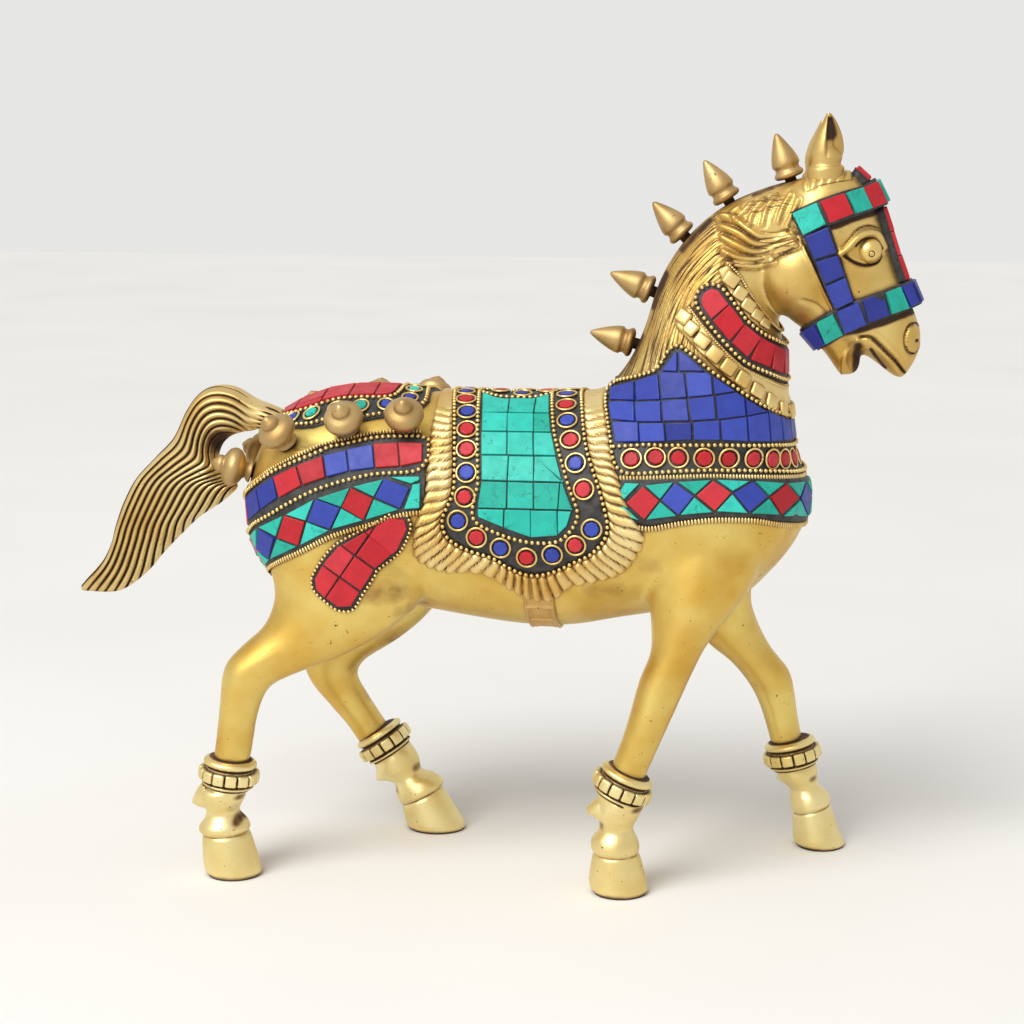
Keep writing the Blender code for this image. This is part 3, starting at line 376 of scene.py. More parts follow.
# Cast brass, filed and then polished by hand: a warm yellow glow, cloudy, with brown pits
rubbed_brass = old_brass(
    "rubbed_cast_brass", "#E1C772", "#D0A548", "#4A2C14", reach=3.2, grime_and_shade=0.9, rough=0.30, marked=True
)
# A point of the cut where the neck is brazed on, and the way that the cut faces
NECK_SEAM = (49.5, 0, 177.5)
SEAM_NORMAL = (0.35, 0, 0.94)
BODY_VOXEL = 1.0
# Painted shade under the fringe, in the folds of the flanks, between the forelegs and on the far legs: x, z
# and half sizes in mm, and strength
near_painted_shade = [
    (-31, 106, 12, 6, 0.46), (-21, 99, 10, 4, 0.40), (46, 108, 10, 5, 0.36), (24, 92, 10, 4, 0.34),
    (62, 118, 9, 5, 0.30), (-62, 96, 8, 5, 0.26), (-78, 152, 24, 9, 0.34),
]
far_painted_shade = [
    (78, 84, 6, 7, 0.50), (-50, 57, 6, 10, 0.42), (-38, 76, 9, 6, 0.46), (86, 70, 5, 6, 0.34),
    (-31, 106, 12, 6, 0.40), (46, 108, 10, 5, 0.36), (-78, 152, 24, 9, 0.34),
]
skin = cast_form(BODY_VOXEL, barrel, legs)
body_tree = BVHTree.FromBMesh(skin)
parted(skin, NECK_SEAM, SEAM_NORMAL)
body = piece("body_and_legs", skin, rubbed_brass)
spots, flat = side_view(body.data)
stained_and_shaded(body, np.where(spots[:, 1] < 0, blotches(flat, near_painted_shade), blotches(flat, far_painted_shade)))
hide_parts("torso_casting", "near_fore_leg", "far_fore_leg", "near_hind_leg", "far_hind_leg")

# Anklets, fetlocks and hooves
# Cast in one with the legs: two plain rings with a row of square blocks between them, a fetlock
# with its pointed tuft, a coronet and a hoof. Paler than the legs, with wear and a painted highlight,
# black in the joints, and in painted shade below the anklet, under the tuft and along the sole.
ANKLET_RADIUS = 10.6
BLOCKS = 14
BLOCK_HEIGHT = 3.6
BLOCK_WIDTHS = (4.0, 4.3)
BLOCK_ROW = 0.54  # share of the anklet's length
FOOT_VOXEL = 0.36
# Each foot: top and bottom of its anklet; ovals, back edge first; number of the oval in the groove;
# the tuft's root and tip; painted shade below the anklet and under the tuft
feet = {
    "near_fore": ((56, 44.5), (51.5, 34), [
        (45.2, 34, 61.8, 33.4, 8.6),
        (44.6, 30.5, 60.6, 30.5, 8.6),
        (45.2, 27, 58.9, 27, 7.6),
        (45.7, 24.2, 57.5, 24.4, 6.4),
        (45, 22.4, 57.7, 22.4, 6.7),
        (43.1, 20.2, 58.9, 20.2, 8.3),
        (42.6, 17.6, 59.7, 17.6, 9.1),
        (43, 15.5, 59.7, 15.5, 8.9),
        (44.1, 14.5, 58.9, 14.5, 8.1),
        (43.2, 13.6, 60, 13.6, 8.9),
        (42.2, 7.5, 61.6, 7.5, 9.6),
        (42, 3.6, 62.6, 3.6, 10),
        (42.8, 1.2, 62.8, 1.2, 9.8),
        (44, 0, 62.2, 0, 9.3),
    ], 8, ((49.4, 30.8), (41, 29.6)), [(59.8, 31.8, 2.6, 1.7, 0.6), (46.6, 25, 1.6, 2.4, 0.45)]),
    "far_fore": ((109, 40.5), (111.5, 29.5), [
        (105, 27.5, 120, 28.5, 8.4),
        (106, 25, 119.8, 26, 7.8),
        (109.6, 21.6, 120.5, 23, 6.3),
        (109.8, 18.4, 123, 21, 7.8),
        (110, 15.2, 124.9, 18.4, 8.7),
        (110.6, 13.4, 125, 16.7, 8.5),
        (111.6, 12.6, 124.2, 15.8, 7.8),
        (110.8, 11.7, 125.3, 14.9, 8.5),
        (111, 6, 127.7, 8, 9.3),
        (111.2, 2.8, 129.7, 3.2, 9.9),
        (112, 1, 130.6, 1, 9.7),
        (113, 0, 130, 0, 9.2),
    ], 6, ((111.5, 27.5), (104.9, 25.4)), [(118.4, 26.6, 2.2, 1.8, 0.5)]),
    "near_hind": ((-87.5, 43.5), (-89, 32), [
        (-99.2, 31, -82.1, 31.6, 8.8),
        (-98.4, 27.6, -82.8, 28.6, 8.6),
        (-97.2, 25, -84.4, 25.6, 7.2),
        (-96.9, 22.8, -84.8, 23.4, 6.5),
        (-97.8, 20.4, -82.6, 20.9, 8),
        (-99.4, 18.2, -81.2, 18.9, 9.2),
        (-99.6, 16.4, -81.1, 17.4, 9.2),
        (-98.1, 15, -82.1, 16.2, 8.2),
        (-98.4, 13.9, -80.9, 15.2, 8.9),
        (-98.4, 9.5, -79.3, 10, 9.5),
        (-98.2, 4.5, -77.6, 4.5, 10),
        (-97.4, 1.4, -77.2, 1.2, 9.7),
        (-96.2, 0, -78, 0, 9.3),
    ], 7, ((-94.6, 29.6), (-101.9, 26.2)), [(-84.3, 21.6, 2.2, 2.8, 0.6), (-83.4, 30, 2.2, 1.4, 0.5)]),
    "far_hind": ((-47.8, 37.8), (-41.7, 28.6), [
        (-48, 22.5, -33.5, 31, 8.6),
        (-47, 18.8, -31.3, 27.2, 8.2),
        (-40.9, 17.4, -30.7, 22.8, 6.4),
        (-40.3, 14.2, -25.8, 21.6, 8),
        (-39.4, 11.2, -22.4, 19.2, 9.1),
        (-38.9, 9.8, -22.1, 17.4, 8.9),
        (-37.5, 9.3, -23, 16.4, 8.1),
        (-37.9, 8.1, -21.7, 15.2, 8.8),
        (-37, 4.6, -17.4, 8.2, 9.5),
        (-36.4, 2.2, -14.4, 3.4, 10),
        (-35.8, 0.8, -13.6, 1, 9.8),
        (-34.8, 0, -14.2, 0, 9.3),
    ], 6, ((-41.4, 24.4), (-47.6, 18)), [(-31.6, 24.4, 2, 2, 0.5), (-39.6, 15.4, 2, 2.4, 0.5)]),
}
# Share of the anklet's length, and of its radius
anklet_turning = [
    (-0.03, 0.60), (0.02, 0.74), (0.08, 0.87), (0.15, 0.91), (0.23, 0.88), (0.28, 0.77), (0.32, 0.78),
    (0.37, 0.83), (0.54, 0.84), (0.71, 0.83), (0.75, 0.77), (0.78, 0.79), (0.83, 0.88), (0.88, 0.87),
    (0.92, 0.77), (0.98, 0.75),
]
# Share of the way from the tuft's root to its tip, half height and half width
tuft_shape = [(0, 6.2, 6.4), (0.45, 4.4, 5.2), (0.8, 2.3, 3.3), (1, 0.7, 1.3)]
# Share of the anklet's length where tarnish sits, and how far it reaches
anklet_joints = ((-0.02, 0.05), (0.29, 0.05), (BLOCK_ROW, 0.21), (0.76, 0.04), (0.93, 0.045))
TRACK = 33  # from the middle of the horse to the middle of a foot
# Cast brass worn by handling and given a painted highlight: the palest metal of the horse, with black
# lines in its joints and painted shade at its sole
foot_brass = old_brass(
    "worn_and_highlit_foot_brass", "#F2E2A8", "#DFC67E", "#3A2210", reach=2.4, grime_and_shade=1.0, rough=0.32, marked=True
)


def nearest_on(points, path):
    """Distance in side view from many points to a line of corners, in mm."""
    best = np.full(len(points), 1e9)
    for a, b in zip(path, path[1:]):
        a, b = np.array(a, float), np.array(b, float)
        run = b - a
        share = np.clip(((points - a) @ run) / (run @ run), 0, 1)
        best = np.minimum(best, np.linalg.norm(points - (a + share[:, None] * run), axis=1))
    return best


def absorb(whole, part):
    """Adds one mesh to another and frees it."""
    mesh = bpy.data.meshes.new("part")
    part.to_mesh(mesh)
    part.free()
    whole.from_mesh(mesh)
    bpy.data.meshes.remove(mesh)


for leg, (top, low, stations, groove, (root, tip), marks) in feet.items():
    side = -TRACK if leg.startswith("near") else TRACK
    top, low, root, tip = Vector(top), Vector(low), Vector(root), Vector(tip)
    along = (low - top).normalized()
    across = Vector((-along.y, along.x))
    rows = []
    for share, size in anklet_turning:
        centre = top + (low - top) * share
        front, back = centre + across * ANKLET_RADIUS * size, centre - across * ANKLET_RADIUS * size
        rows.append((*front, *back, side, ANKLET_RADIUS * size))
    for x1, z1, x2, z2, half in stations:
        rows.append((x2, z2, x1, z1, side, half))
    x1, z1, x2, z2, half = stations[-1]
    rows.append((x2, z2 - 2, x1, z1 - 2, side, half))
    form = bmesh.new()
    loft(form, rows, sides=44, steps=2)
    over = (tip - root).normalized().orthogonal()
    hook = []
    for share, tall, half in tuft_shape:
        centre = root.lerp(tip, share)
        hook.append((*(centre + over * tall), *(centre - over * tall), side, half))
    loft(form, hook, sides=20)
    form = parted(blended(form, FOOT_VOXEL, 3), (0, 0, 0.02), (0, 0, -1))
    middle = top.lerp(low, BLOCK_ROW)
    turn = Vector((along.x, 0, along.y)).to_track_quat("Z", "Y").to_matrix().to_4x4()
    seat = Matrix.Translation(Vector((middle.x, side, middle.y)) * MM) @ turn
    luck = random.Random(leg)
    for k in range(BLOCKS):
        block = bmesh.new()
        size = Matrix.Diagonal((BLOCK_HEIGHT, luck.uniform(*BLOCK_WIDTHS), luck.uniform(*BLOCK_WIDTHS), 1))
        bmesh.ops.create_cube(block, size=1, matrix=size)
        bmesh.ops.bevel(
            block, geom=block.edges, offset=0.75, offset_type="OFFSET", segments=3, profile=0.5,
            affect="EDGES", material=-1,
        )
        spin = Matrix.Rotation(2 * math.pi * (k + 0.3) / BLOCKS, 4, "Z")
        out = Matrix.Translation((ANKLET_RADIUS * 0.86 * MM, 0, 0)) @ Matrix.Diagonal((MM, MM, MM, 1))
        bmesh.ops.transform(block, matrix=seat @ spin @ out, verts=block.verts)
        absorb(form, block)
    foot = piece(leg + "_foot", form, foot_brass)
    spots, flat = side_view(foot.data)
    ahead = (flat - np.array(top)) @ np.array(along)
    aside = np.hypot((flat - np.array(top)) @ np.array(across), spots[:, 1] - side)
    share = ahead / (low - top).length
    # Painted shade below the anklet and under the tuft
    dark = blotches(flat, marks)
    sunk = aside < ANKLET_RADIUS * 0.865
    for place, wide in anklet_joints:
        dark = np.maximum(dark, 0.72 * fading(np.abs(share - place), wide, 4) * sunk)
    coronet = nearest_on(flat, [stations[groove][:2], stations[groove][2:4]])
    dark = np.maximum(dark, 0.5 * fading(coronet, 0.5))
    # Painted shade along the sole, where the hoof meets the floor
    floor_shade_height = flat[:, 1]
    stained_and_shaded(foot, np.maximum(dark, 0.9 * fading(floor_shade_height, 0.7)))
    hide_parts(leg + "_leg")

# Neck and head
# The same casting carries on above the chest. Its mane is combed with a graver, the locks over
# the cheek, the eyelids and the lips are chased into the wax, and the eyes are set in as balls.
# Eyelids, edges of the bridle, cheekbone, lips and jaw as side-view lines on both cheeks:
# corners, width in mm, and height in mm, which is below zero for a cut
face_lines = [
    (
        [(124.6, 224.6), (127.4, 226.9), (129.9, 229.6), (133.4, 231.3), (137.0, 230.4), (139.5, 226.2)],
        1.35, 1.9,
    ),
    (
        [(125.4, 226.8), (127.9, 229.6), (130.6, 232.7), (134.0, 233.9), (137.8, 232.9), (140.2, 229.4)],
        0.5, -0.9,
    ),
    (
        [(125.9, 223.2), (128.6, 220.9), (131.2, 219.7), (134.4, 219.4), (137.4, 220.6), (139.2, 223.0)],
        0.6, 0.5,
    ),
    (
        [(126.6, 224.0), (128.7, 222.3), (131.2, 221.0), (134.2, 220.5), (137.0, 221.4), (138.6, 223.6)],
        0.55, -1.3,
    ),
    (
        [(138.6, 239.5), (139.6, 236.0), (141.6, 231.0), (143.6, 224.0), (145.6, 217.6), (147.0, 213.6)],
        0.6, 1.2,
    ),
    (
        [(140.3, 239.0), (141.4, 235.6), (143.2, 230.6), (145.2, 223.6), (147.0, 217.2), (148.4, 213.4)],
        0.7, -1.0,
    ),
    ([(107.2, 233.2), (111.2, 228.6), (115.0, 221.2), (119.0, 212.9), (122.9, 205.2)], 0.5, 0.9),
    ([(108.4, 233.6), (112.5, 229.0), (116.2, 221.6), (120.2, 213.3), (124.0, 205.8)], 0.5, -0.7),
    (
        [(132.2, 195.6), (135.4, 195.7), (138.2, 193.4), (141.0, 190.5), (144.5, 187.0), (147.4, 183.2)],
        0.5, -1.7,
    ),
    ([(131.6, 197.4), (135.8, 198.0), (139.4, 195.6), (142.6, 192.2), (146.0, 188.6)], 0.8, 0.5),
    ([(131.6, 194.8), (128.9, 192.4), (127.0, 188.4), (126.3, 183.8), (126.4, 180.6)], 0.7, 1.1),
    ([(112.4, 208.4), (117.0, 206.8), (120.6, 203.2)], 0.8, -0.5),
]
# Painted shade: under the browband and noseband, beside the face strap, inside the jaw, round the
# eyes, in the corners and along the crest between the studs
painted_face_shade = [
    (
        [(119.4, 233.4), (123.6, 234.3), (128.3, 236.2), (133.5, 237.8), (137.7, 238.6), (141.0, 239.2)],
        1.6, 0.95,
    ),
    (
        [(125.1, 196.8), (132.5, 198.4), (137.7, 200.2), (142.9, 202.0), (148.2, 203.8), (152.3, 205.2)],
        1.5, 0.9,
    ),
    ([(140.8, 239.0), (142.6, 234.4), (144.6, 227.6), (147.0, 220.2), (148.8, 214.6)], 0.9, 1.0),
    ([(126.2, 224.0), (128.7, 222.2), (131.4, 220.9), (134.2, 220.5), (136.8, 221.4)], 0.6, 1.0),
    ([(130.1, 227.2), (132.2, 229.2), (134.6, 229.8), (137.2, 228.8), (139.0, 226.0)], 0.5, 1.0),
    ([(125.6, 227.0), (128.0, 229.8), (130.6, 232.7), (134.0, 233.8), (137.8, 232.8)], 0.4, 0.7),
    ([(136.4, 195.0), (139.8, 191.8), (144.5, 187.0), (147.8, 182.8)], 0.55, 1.0),
    ([(131.6, 192.4), (131.2, 188.6), (131.2, 182.6)], 2.3, 0.8),
    ([(136.0, 191.4), (138.6, 187.6), (141.0, 184.8)], 0.9, 0.8),
    ([(110.6, 231.6), (114.4, 224.6), (118.4, 216.0), (122.6, 207.4)], 0.5, 0.75),
    ([(96, 221), (101, 221.4), (105.5, 224.4), (109.2, 226.4)], 0.7, 0.6),
    ([(127.4, 202.6), (128.6, 198.8)], 1.2, 0.7),
    ([(52.6, 185.4), (56.2, 194.6)], 1.9, 0.66),
    ([(60.2, 204.6), (64.8, 216.2)], 1.9, 0.72),
    ([(70.2, 224.8), (79.6, 234.8)], 1.9, 0.72),
    ([(94.6, 243.8), (101.0, 246.4)], 1.5, 0.6),
]
lock_lines = [
    [(82.6, 235.9), (88.2, 235.8), (95.4, 231.3), (99.0, 229.9), (104.1, 229.9), (108.6, 231.2)],
    [(84.0, 233.2), (90.2, 231.2), (95.5, 227.9), (100.7, 227.9), (108.7, 229.4)],
    [(84.6, 229.6), (90.3, 226.9), (95.6, 225.0), (100.7, 225.6), (109.4, 228.0)],
    [(85.0, 225.0), (90.4, 222.7), (95.6, 222.4), (100.8, 223.4), (106.0, 225.7), (110.3, 227.4)],
    [(86.6, 220.9), (91.6, 220.4), (96.6, 220.2), (101.6, 221.6)],
]
wisp_lines = [
    [(107.6, 244.6), (105.0, 240.0), (103.4, 235.0)],
    [(110.2, 242.6), (108.2, 237.6), (106.2, 233.4)],
    [(102.6, 244.0), (99.6, 239.8), (98.2, 234.2)],
    [(98.4, 242.8), (95.2, 238.8), (93.6, 234.6)],
    [(94.2, 241.2), (91.4, 238.2), (88.8, 236.0)],
    [(89.6, 239.6), (86.8, 237.6), (84.4, 236.4)],
]
# Middle and half sizes of ovals in side view, in mm
NOSTRIL = (150.4, 195.0, 2.7, 4.7)
NOSTRIL_HOLE = (151.6, 194.2, 1, 1)
EYE_SOCKET = (134.0, 225.2, 4.9, 4.5)
MOUTH = (130.6, 186.4, 2.7, 5.8)
LOCKS = (97, 233, 14, 12)
CHEEK = (112, 217, 1, 1)
# The row of petals below the ears
PETAL_PITCH = 2.9
petal_row = [(113.6, 247.4), (117.6, 249.6), (122.6, 250.6), (127.6, 251.2), (131.0, 251.6)]
petal_seam = [(113.2, 245.4), (117.6, 247.6), (122.6, 248.6), (127.6, 249.2), (131.0, 249.6)]
# The hair lies on circles round a point below the jaw, and its furrows run along them
COMB_CENTRE = (107.0, 196.0)
FURROW_PITCH = 1.75
LOCK = {"height": 1.35, "width": 0.95, "groove": 0.6, "groove_place": 1.6, "groove_width": 0.5}
WISP = {"height": 0.8, "width": 0.75, "groove": 0.4, "groove_place": 1.3, "groove_width": 0.4}


def from_comb_centre(spots):
    """Distance in mm from the comb's centre in the side view."""
    return np.hypot(spots[:, 0] - COMB_CENTRE[0], spots[:, 2] - COMB_CENTRE[1])


def hair_of(spots, flat):
    """Place across and along the combed hair in mm, how much is mane, and how far up a furrow."""
    x, y, z = spots.T
    radius = from_comb_centre(spots)
    across = np.abs(y) - radius
    along = np.arctan2(z - COMB_CENTRE[1], COMB_CENTRE[0] - x) * 45
    mane = np.clip((radius - 27) / 4, 0, 1) * np.clip((108 - x) / 8, 0, 1)
    mane *= np.clip((from_oval(flat, *LOCKS) - 0.9) * 4, 0, 1)
    mane *= np.clip((from_oval(flat, *CHEEK) - 17) / 3, 0, 1)
    furrow = np.abs(np.sin(np.pi * (across / FURROW_PITCH + 0.35 * np.sin(along / 9))))
    return across, along, mane, furrow**0.7


def strand_of(away, height, width, groove, groove_place, groove_width):
    """Height of a lock of hair at a distance from its middle, with a groove beside it."""
    return height * fading(away, width) - groove * fading(away - groove_place, groove_width)


def carved(bm):
    """Pushes the wax in and out along the chased lines, on both sides alike."""
    spots = np.array([vert.co for vert in bm.verts]) / MM
    bm.normal_update()
    facing = np.array([vert.normal for vert in bm.verts])
    sideways = np.abs(facing[:, 1])
    flat = spots[:, [0, 2]]
    beside = np.clip(sideways * 2.2 - 0.25, 0, 1)
    edge = np.minimum(1, sideways * 3)
    rise = np.zeros(len(spots))
    for path, width, height in face_lines:
        rise += height * fading(nearest_on(flat, smoothed(path)), width) * beside
    for path in lock_lines:
        rise += strand_of(nearest_on(flat, smoothed(path)), **LOCK) * beside
    for path in wisp_lines:
        rise += strand_of(nearest_on(flat, smoothed(path)), **WISP) * beside
    nostril = from_oval(flat, *NOSTRIL)
    rise += np.where(nostril < 1, 0.6, -0.8 * fading(nostril - 1.1, 0.12)) * edge
    rise -= 1.5 * fading(from_oval(flat, *NOSTRIL_HOLE), 0.8) * edge
    rise -= 0.9 * fading(from_oval(flat, *EYE_SOCKET), power=4) * beside
    rise -= 1.9 * fading(from_oval(flat, *MOUTH), power=4) * beside
    petals = np.abs(np.sin(np.pi * (flat[:, 0] - 111.0) / PETAL_PITCH)) ** 0.6
    row = fading(nearest_on(flat, petal_row), 2.0, 4) * np.minimum(1, sideways * 4)
    rise += (1.2 * petals - 0.3) * row
    _, _, mane, furrow = hair_of(spots, flat)
    rise -= 0.42 * (1 - furrow) * mane * np.clip(sideways * 3, 0, 1)
    moved = (spots + facing * rise[:, None]) * MM
    for vert, spot in zip(bm.verts, moved):
        vert.co = spot


def strand_map(mesh):
    """UVs along the combed hair and how much of the surface is mane; gives back its darkness."""
    spots, flat = side_view(mesh)
    across, along, mane, furrow = hair_of(spots, flat)
    layer = mesh.uv_layers.new(name="strands")
    loops = np.empty(len(mesh.loops), dtype=np.int32)
    mesh.loops.foreach_get("vertex_index", loops)
    pairs = np.stack([across, along], axis=1) * MM
    layer.data.foreach_set("uv", pairs[loops].ravel())
    store = mesh.attributes.new("mane", "FLOAT", "POINT")
    crown = 0.7 * fading(from_oval(flat, 99, 241, 13, 6), power=4)
    store.data.foreach_set("value", np.maximum(mane, crown).astype(np.float32))
    below_crest = np.maximum(np.abs(spots[:, 1]) - (from_comb_centre(spots) - 47.5), 0)
    dark = 0.52 * fading(below_crest, 5) * np.clip((112 - spots[:, 0]) / 8, 0, 1)
    dark = np.maximum(dark, 0.38 * (1 - furrow) * mane)
    # Painted shade under the bands, round the eyes, in the mouth and between the studs
    for path, width, strength in painted_face_shade:
        dark = np.maximum(dark, strength * fading(nearest_on(flat, smoothed(path)), width))
    for path in lock_lines:
        dark = np.maximum(dark, 0.55 * fading(nearest_on(flat, smoothed(path)) - 1.7, 0.4))
    dark = np.maximum(dark, 0.6 * fading(nearest_on(flat, petal_seam), 0.4))
    dark = np.maximum(dark, 0.9 * fading(from_oval(flat, *NOSTRIL) - 1.1, 0.09))
    return np.maximum(dark, fading(from_oval(flat, *NOSTRIL_HOLE), 0.7))


# Cast brass combed with a graver: bright strands with fine dark lines between them
combed_brass = old_brass(
    "combed_cast_brass", "#E2C67C", "#C79F4E", "#3A2412", reach=2.2, grime_and_shade=0.95, rough=0.33, marked=True,
    combed=True,
)
HEAD_VOXEL = 0.53
form = cast_form(HEAD_VOXEL, barrel[8:], {})
carved(form)
parted(form, NECK_SEAM, tuple(-part for part in SEAM_NORMAL))
head = piece("neck_and_head", form, combed_brass)
stained_and_shaded(head, strand_map(head.data))
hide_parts("neck_casting", "head_casting")

EYE_CENTRE = (134.3, 10.4, 225.2)
EYE_RADIUS = 4.7
# The pupil is a punched dot in a ring, cut so deep in mm and so wide as angles in radians
PUPIL_DEPTH = 0.3
PUPIL_RING = 0.22
PUPIL_STROKE = 0.05
# Cast brass burnished smooth: small bright highlights, with the pupil black in its cuts
eye_brass = old_brass(
    "burnished_eye_brass", "#E9CC80", "#D3A956", "#33200F", reach=1.2, grime_and_shade=0.9, rough=0.28, marked=True
)
eyes = bmesh.new()
stain = eyes.verts.layers.float.new("stain")
for side in (-1, 1):
    x, y, z = EYE_CENTRE
    place = Matrix.Translation(Vector((x, side * y, z)) * MM)
    bmesh.ops.create_uvsphere(eyes, u_segments=128, v_segments=88, radius=EYE_RADIUS * MM, matrix=place)
look = Vector((0.30, 1, -0.16)).normalized()
for vert in eyes.verts:
    side = math.copysign(1, vert.co.y)
    centre = Vector((EYE_CENTRE[0], side * EYE_CENTRE[1], EYE_CENTRE[2])) * MM
    gaze = Vector((look.x, look.y * side, look.z))
    out = (vert.co - centre).normalized()
    angle = out.angle(gaze)
    cut = math.exp(-(((angle - PUPIL_RING) / PUPIL_STROKE) ** 2)) + math.exp(-((angle / PUPIL_STROKE) ** 2))
    vert.co -= out * PUPIL_DEPTH * MM * cut
    vert[stain] = 0.85 * cut
eyes = piece("eyeballs", eyes, eye_brass)

# Ears
# Cast brass leaves on ring feet, each pegged and brazed to the crown. They are hollowed towards
# the front and the outer side, and black inside.
ear = [
    (124.4, 246, 112.8, 245, 0, 4.8),
    (125.2, 251.6, 112.9, 250.4, 0, 5.2),
    (125.4, 253.6, 113.1, 252.8, 0, 5.2),
    (124.3, 255.0, 114.1, 254.6, 0, 4.3),
    (125.5, 259.4, 113.9, 258.8, 0, 4.8),
    (124.6, 264.8, 115.4, 264.2, 0, 4.2),
    (122.5, 269.1, 117.7, 268.7, 0, 2.6),
    (120.5, 271.8, 119.1, 271.6, 0, 0.9),
]
EAR_SPREAD = 8.5
EAR_HOLLOW = 0.62
# Heights where the hollow starts and ends, in mm, and the angles of its middle and its half width
HOLLOW_FOOT, HOLLOW_TIP = 256.8, 271.5
HOLLOW_MIDDLE, HOLLOW_HALF = math.radians(36), math.radians(56)
# Cast brass left duller than the cheeks, since no cloth gets round it
ear_brass = old_brass(
    "cast_ear_brass", "#D8BC78", "#BE9850", "#3A2412", reach=2.0, grime_and_shade=0.9, rough=0.33, marked=True
)
for name, side, shift in (("near", -1, (0, 0)), ("far", 1, (-2.4, -2.8))):
    leaf = bmesh.new()
    stain = leaf.verts.layers.float.new("stain")
    rows = [
        (x1 + shift[0], z1 + shift[1], x2 + shift[0], z2 + shift[1], side * EAR_SPREAD, half)
        for x1, z1, x2, z2, _, half in ear
    ]
    loft(leaf, rows, sides=120, steps=12)
    for vert in leaf.verts:
        x, y, z = vert.co / MM
        level = z - shift[1]
        middle = 119.0 + shift[0] + 0.55 * max(0, level - 262) / 10
        out = Vector((x - middle, (y - side * EAR_SPREAD) * side * 1.35))
        angle = abs(math.atan2(out.y, out.x) - HOLLOW_MIDDLE)
        inside = min(1, max(0, (HOLLOW_HALF - angle) / 0.14))
        depth = min(1, max(0, (level - HOLLOW_FOOT) / 4.0)) * min(1, max(0, (HOLLOW_TIP - level) / 2.0))
        scoop = inside * inside * (3 - 2 * inside) * depth
        keep = 1 - EAR_HOLLOW * scoop
        vert[stain] = scoop * min(1, max(0.12, (level - 260.5) / 4.0))
        vert.co.x = (middle + (x - middle) * keep) * MM
        vert.co.y = (side * EAR_SPREAD + (y - side * EAR_SPREAD) * keep) * MM
    leaf = piece(f"{name}_ear_leaf", leaf, ear_brass)
    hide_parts(f"{name}_ear")

# Tail
# One cast plume that springs from the rump, bends over and is combed into deep flutes, which
# run off its lower edge one after the other.

# x and z of its upper and lower edge, and its half width, in mm
tail = [
    (-68.5, 161.0, -71.5, 150.5, 5.5),
    (-75.0, 165.2, -81.8, 157.2, 6.2),
    (-84.2, 168.9, -86.1, 157.1, 7.2),
    (-91.8, 173.0, -90.5, 156.3, 8.2),
    (-98.8, 173.5, -94.5, 154.6, 8.8),
    (-104.9, 170.8, -97.6, 151.3, 9.2),
    (-110.0, 164.5, -99.0, 146.9, 9.4),
    (-115.3, 154.2, -97.8, 142.7, 9.4),
    (-122.3, 146.7, -95.2, 138.8, 9.2),
    (-129.9, 138.6, -91.9, 136.1, 8.8),
    (-134.9, 129.8, -98.4, 130.1, 8.4),
    (-138.2, 121.0, -105.9, 125.1, 7.8),
    (-140.1, 114.3, -112.8, 118.7, 6.8),
    (-142.7, 108.8, -119.8, 111.5, 5.6),
    (-145.9, 104.7, -127.5, 102.9, 4.4),
    (-149.4, 100.9, -137.9, 96.1, 3.2),
    (-152.2, 97.7, -151.6, 95.7, 1.2),
]
TAIL_STEPS = 14
FLUTE_PITCH = 2.75
FLUTE_DEPTH = 1.7
ROOT_STROKE_DEPTH = 0.8
WELD = 0.00002
rows = smoothed([(*row, row[4]) for row in tail], TAIL_STEPS)
widths = [math.hypot(r[0] - r[2], r[1] - r[3]) for r in rows]
plume = bmesh.new()
stain = plume.verts.layers.float.new("stain")
bmesh.ops.create_grid(plume, x_segments=210, y_segments=len(rows) - 1, size=0.5)
for vert in plume.verts:
    across = (1 - math.cos(math.pi * (vert.co.x + 0.5))) / 2
    number = round((vert.co.y + 0.5) * (len(rows) - 1))
    x1, z1, x2, z2, half, _ = rows[number]
    station = number / TAIL_STEPS
    inward = across * widths[number] + 0.25 * math.sin(station * 1.7) - 0.5
    groove = abs(math.sin(math.pi * inward / FLUTE_PITCH)) ** 0.8
    round_off = max(0.0, 1 - abs(2 * across - 1) ** 2.6) ** 0.5
    start = min(1, max(0.0, (station - 1.3) / 1.4))
    stroke = math.exp(-(((station - 1.2) / 0.35) ** 2)) * abs(math.sin(6.5 * math.pi * across)) ** 6
    height = half * round_off
    depth = (FLUTE_DEPTH * (1 - groove) * start + ROOT_STROKE_DEPTH * stroke) * min(1.0, half / 4)
    y = max(0.0, height - depth * min(1, round_off * 2))
    vert.co = Vector((x1 + (x2 - x1) * across, -y, z1 + (z2 - z1) * across)) * MM
    spot = vert.co / MM
    # Painted shade in the hollow under the arch; the flutes' bottoms are black with tarnish and painted
    # shade, darker towards the tip
    arch_shade = math.exp(-((math.hypot(spot.x + 96, spot.z - 153) / 7) ** 2))
    lower = min(1, max(0, (station - 4) / 4))
    vert[stain] = max((0.8 + 0.45 * lower - 1.6 * groove) * start, stroke, 0.8 * arch_shade)
bmesh.ops.mirror(plume, geom=[*plume.verts, *plume.edges, *plume.faces], axis="Y", merge_dist=WELD)
bmesh.ops.remove_doubles(plume, verts=plume.verts, dist=WELD)
bmesh.ops.holes_fill(plume, edges=[edge for edge in plume.edges if edge.is_boundary], sides=0)
# Cast brass rubbed pale on its ridges, with black at the bottom of every flute, part tarnish and part
# painted shade, and painted shade in the hollow under the arch
fluted_brass = old_brass(
    "fluted_cast_brass", "#E8D296", "#CDA962", "#33200F", reach=1.8, grime_and_shade=1.1, rough=0.36, marked=True
)
plume = piece("tail_plume", plume, fluted_brass)
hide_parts("tail_casting")

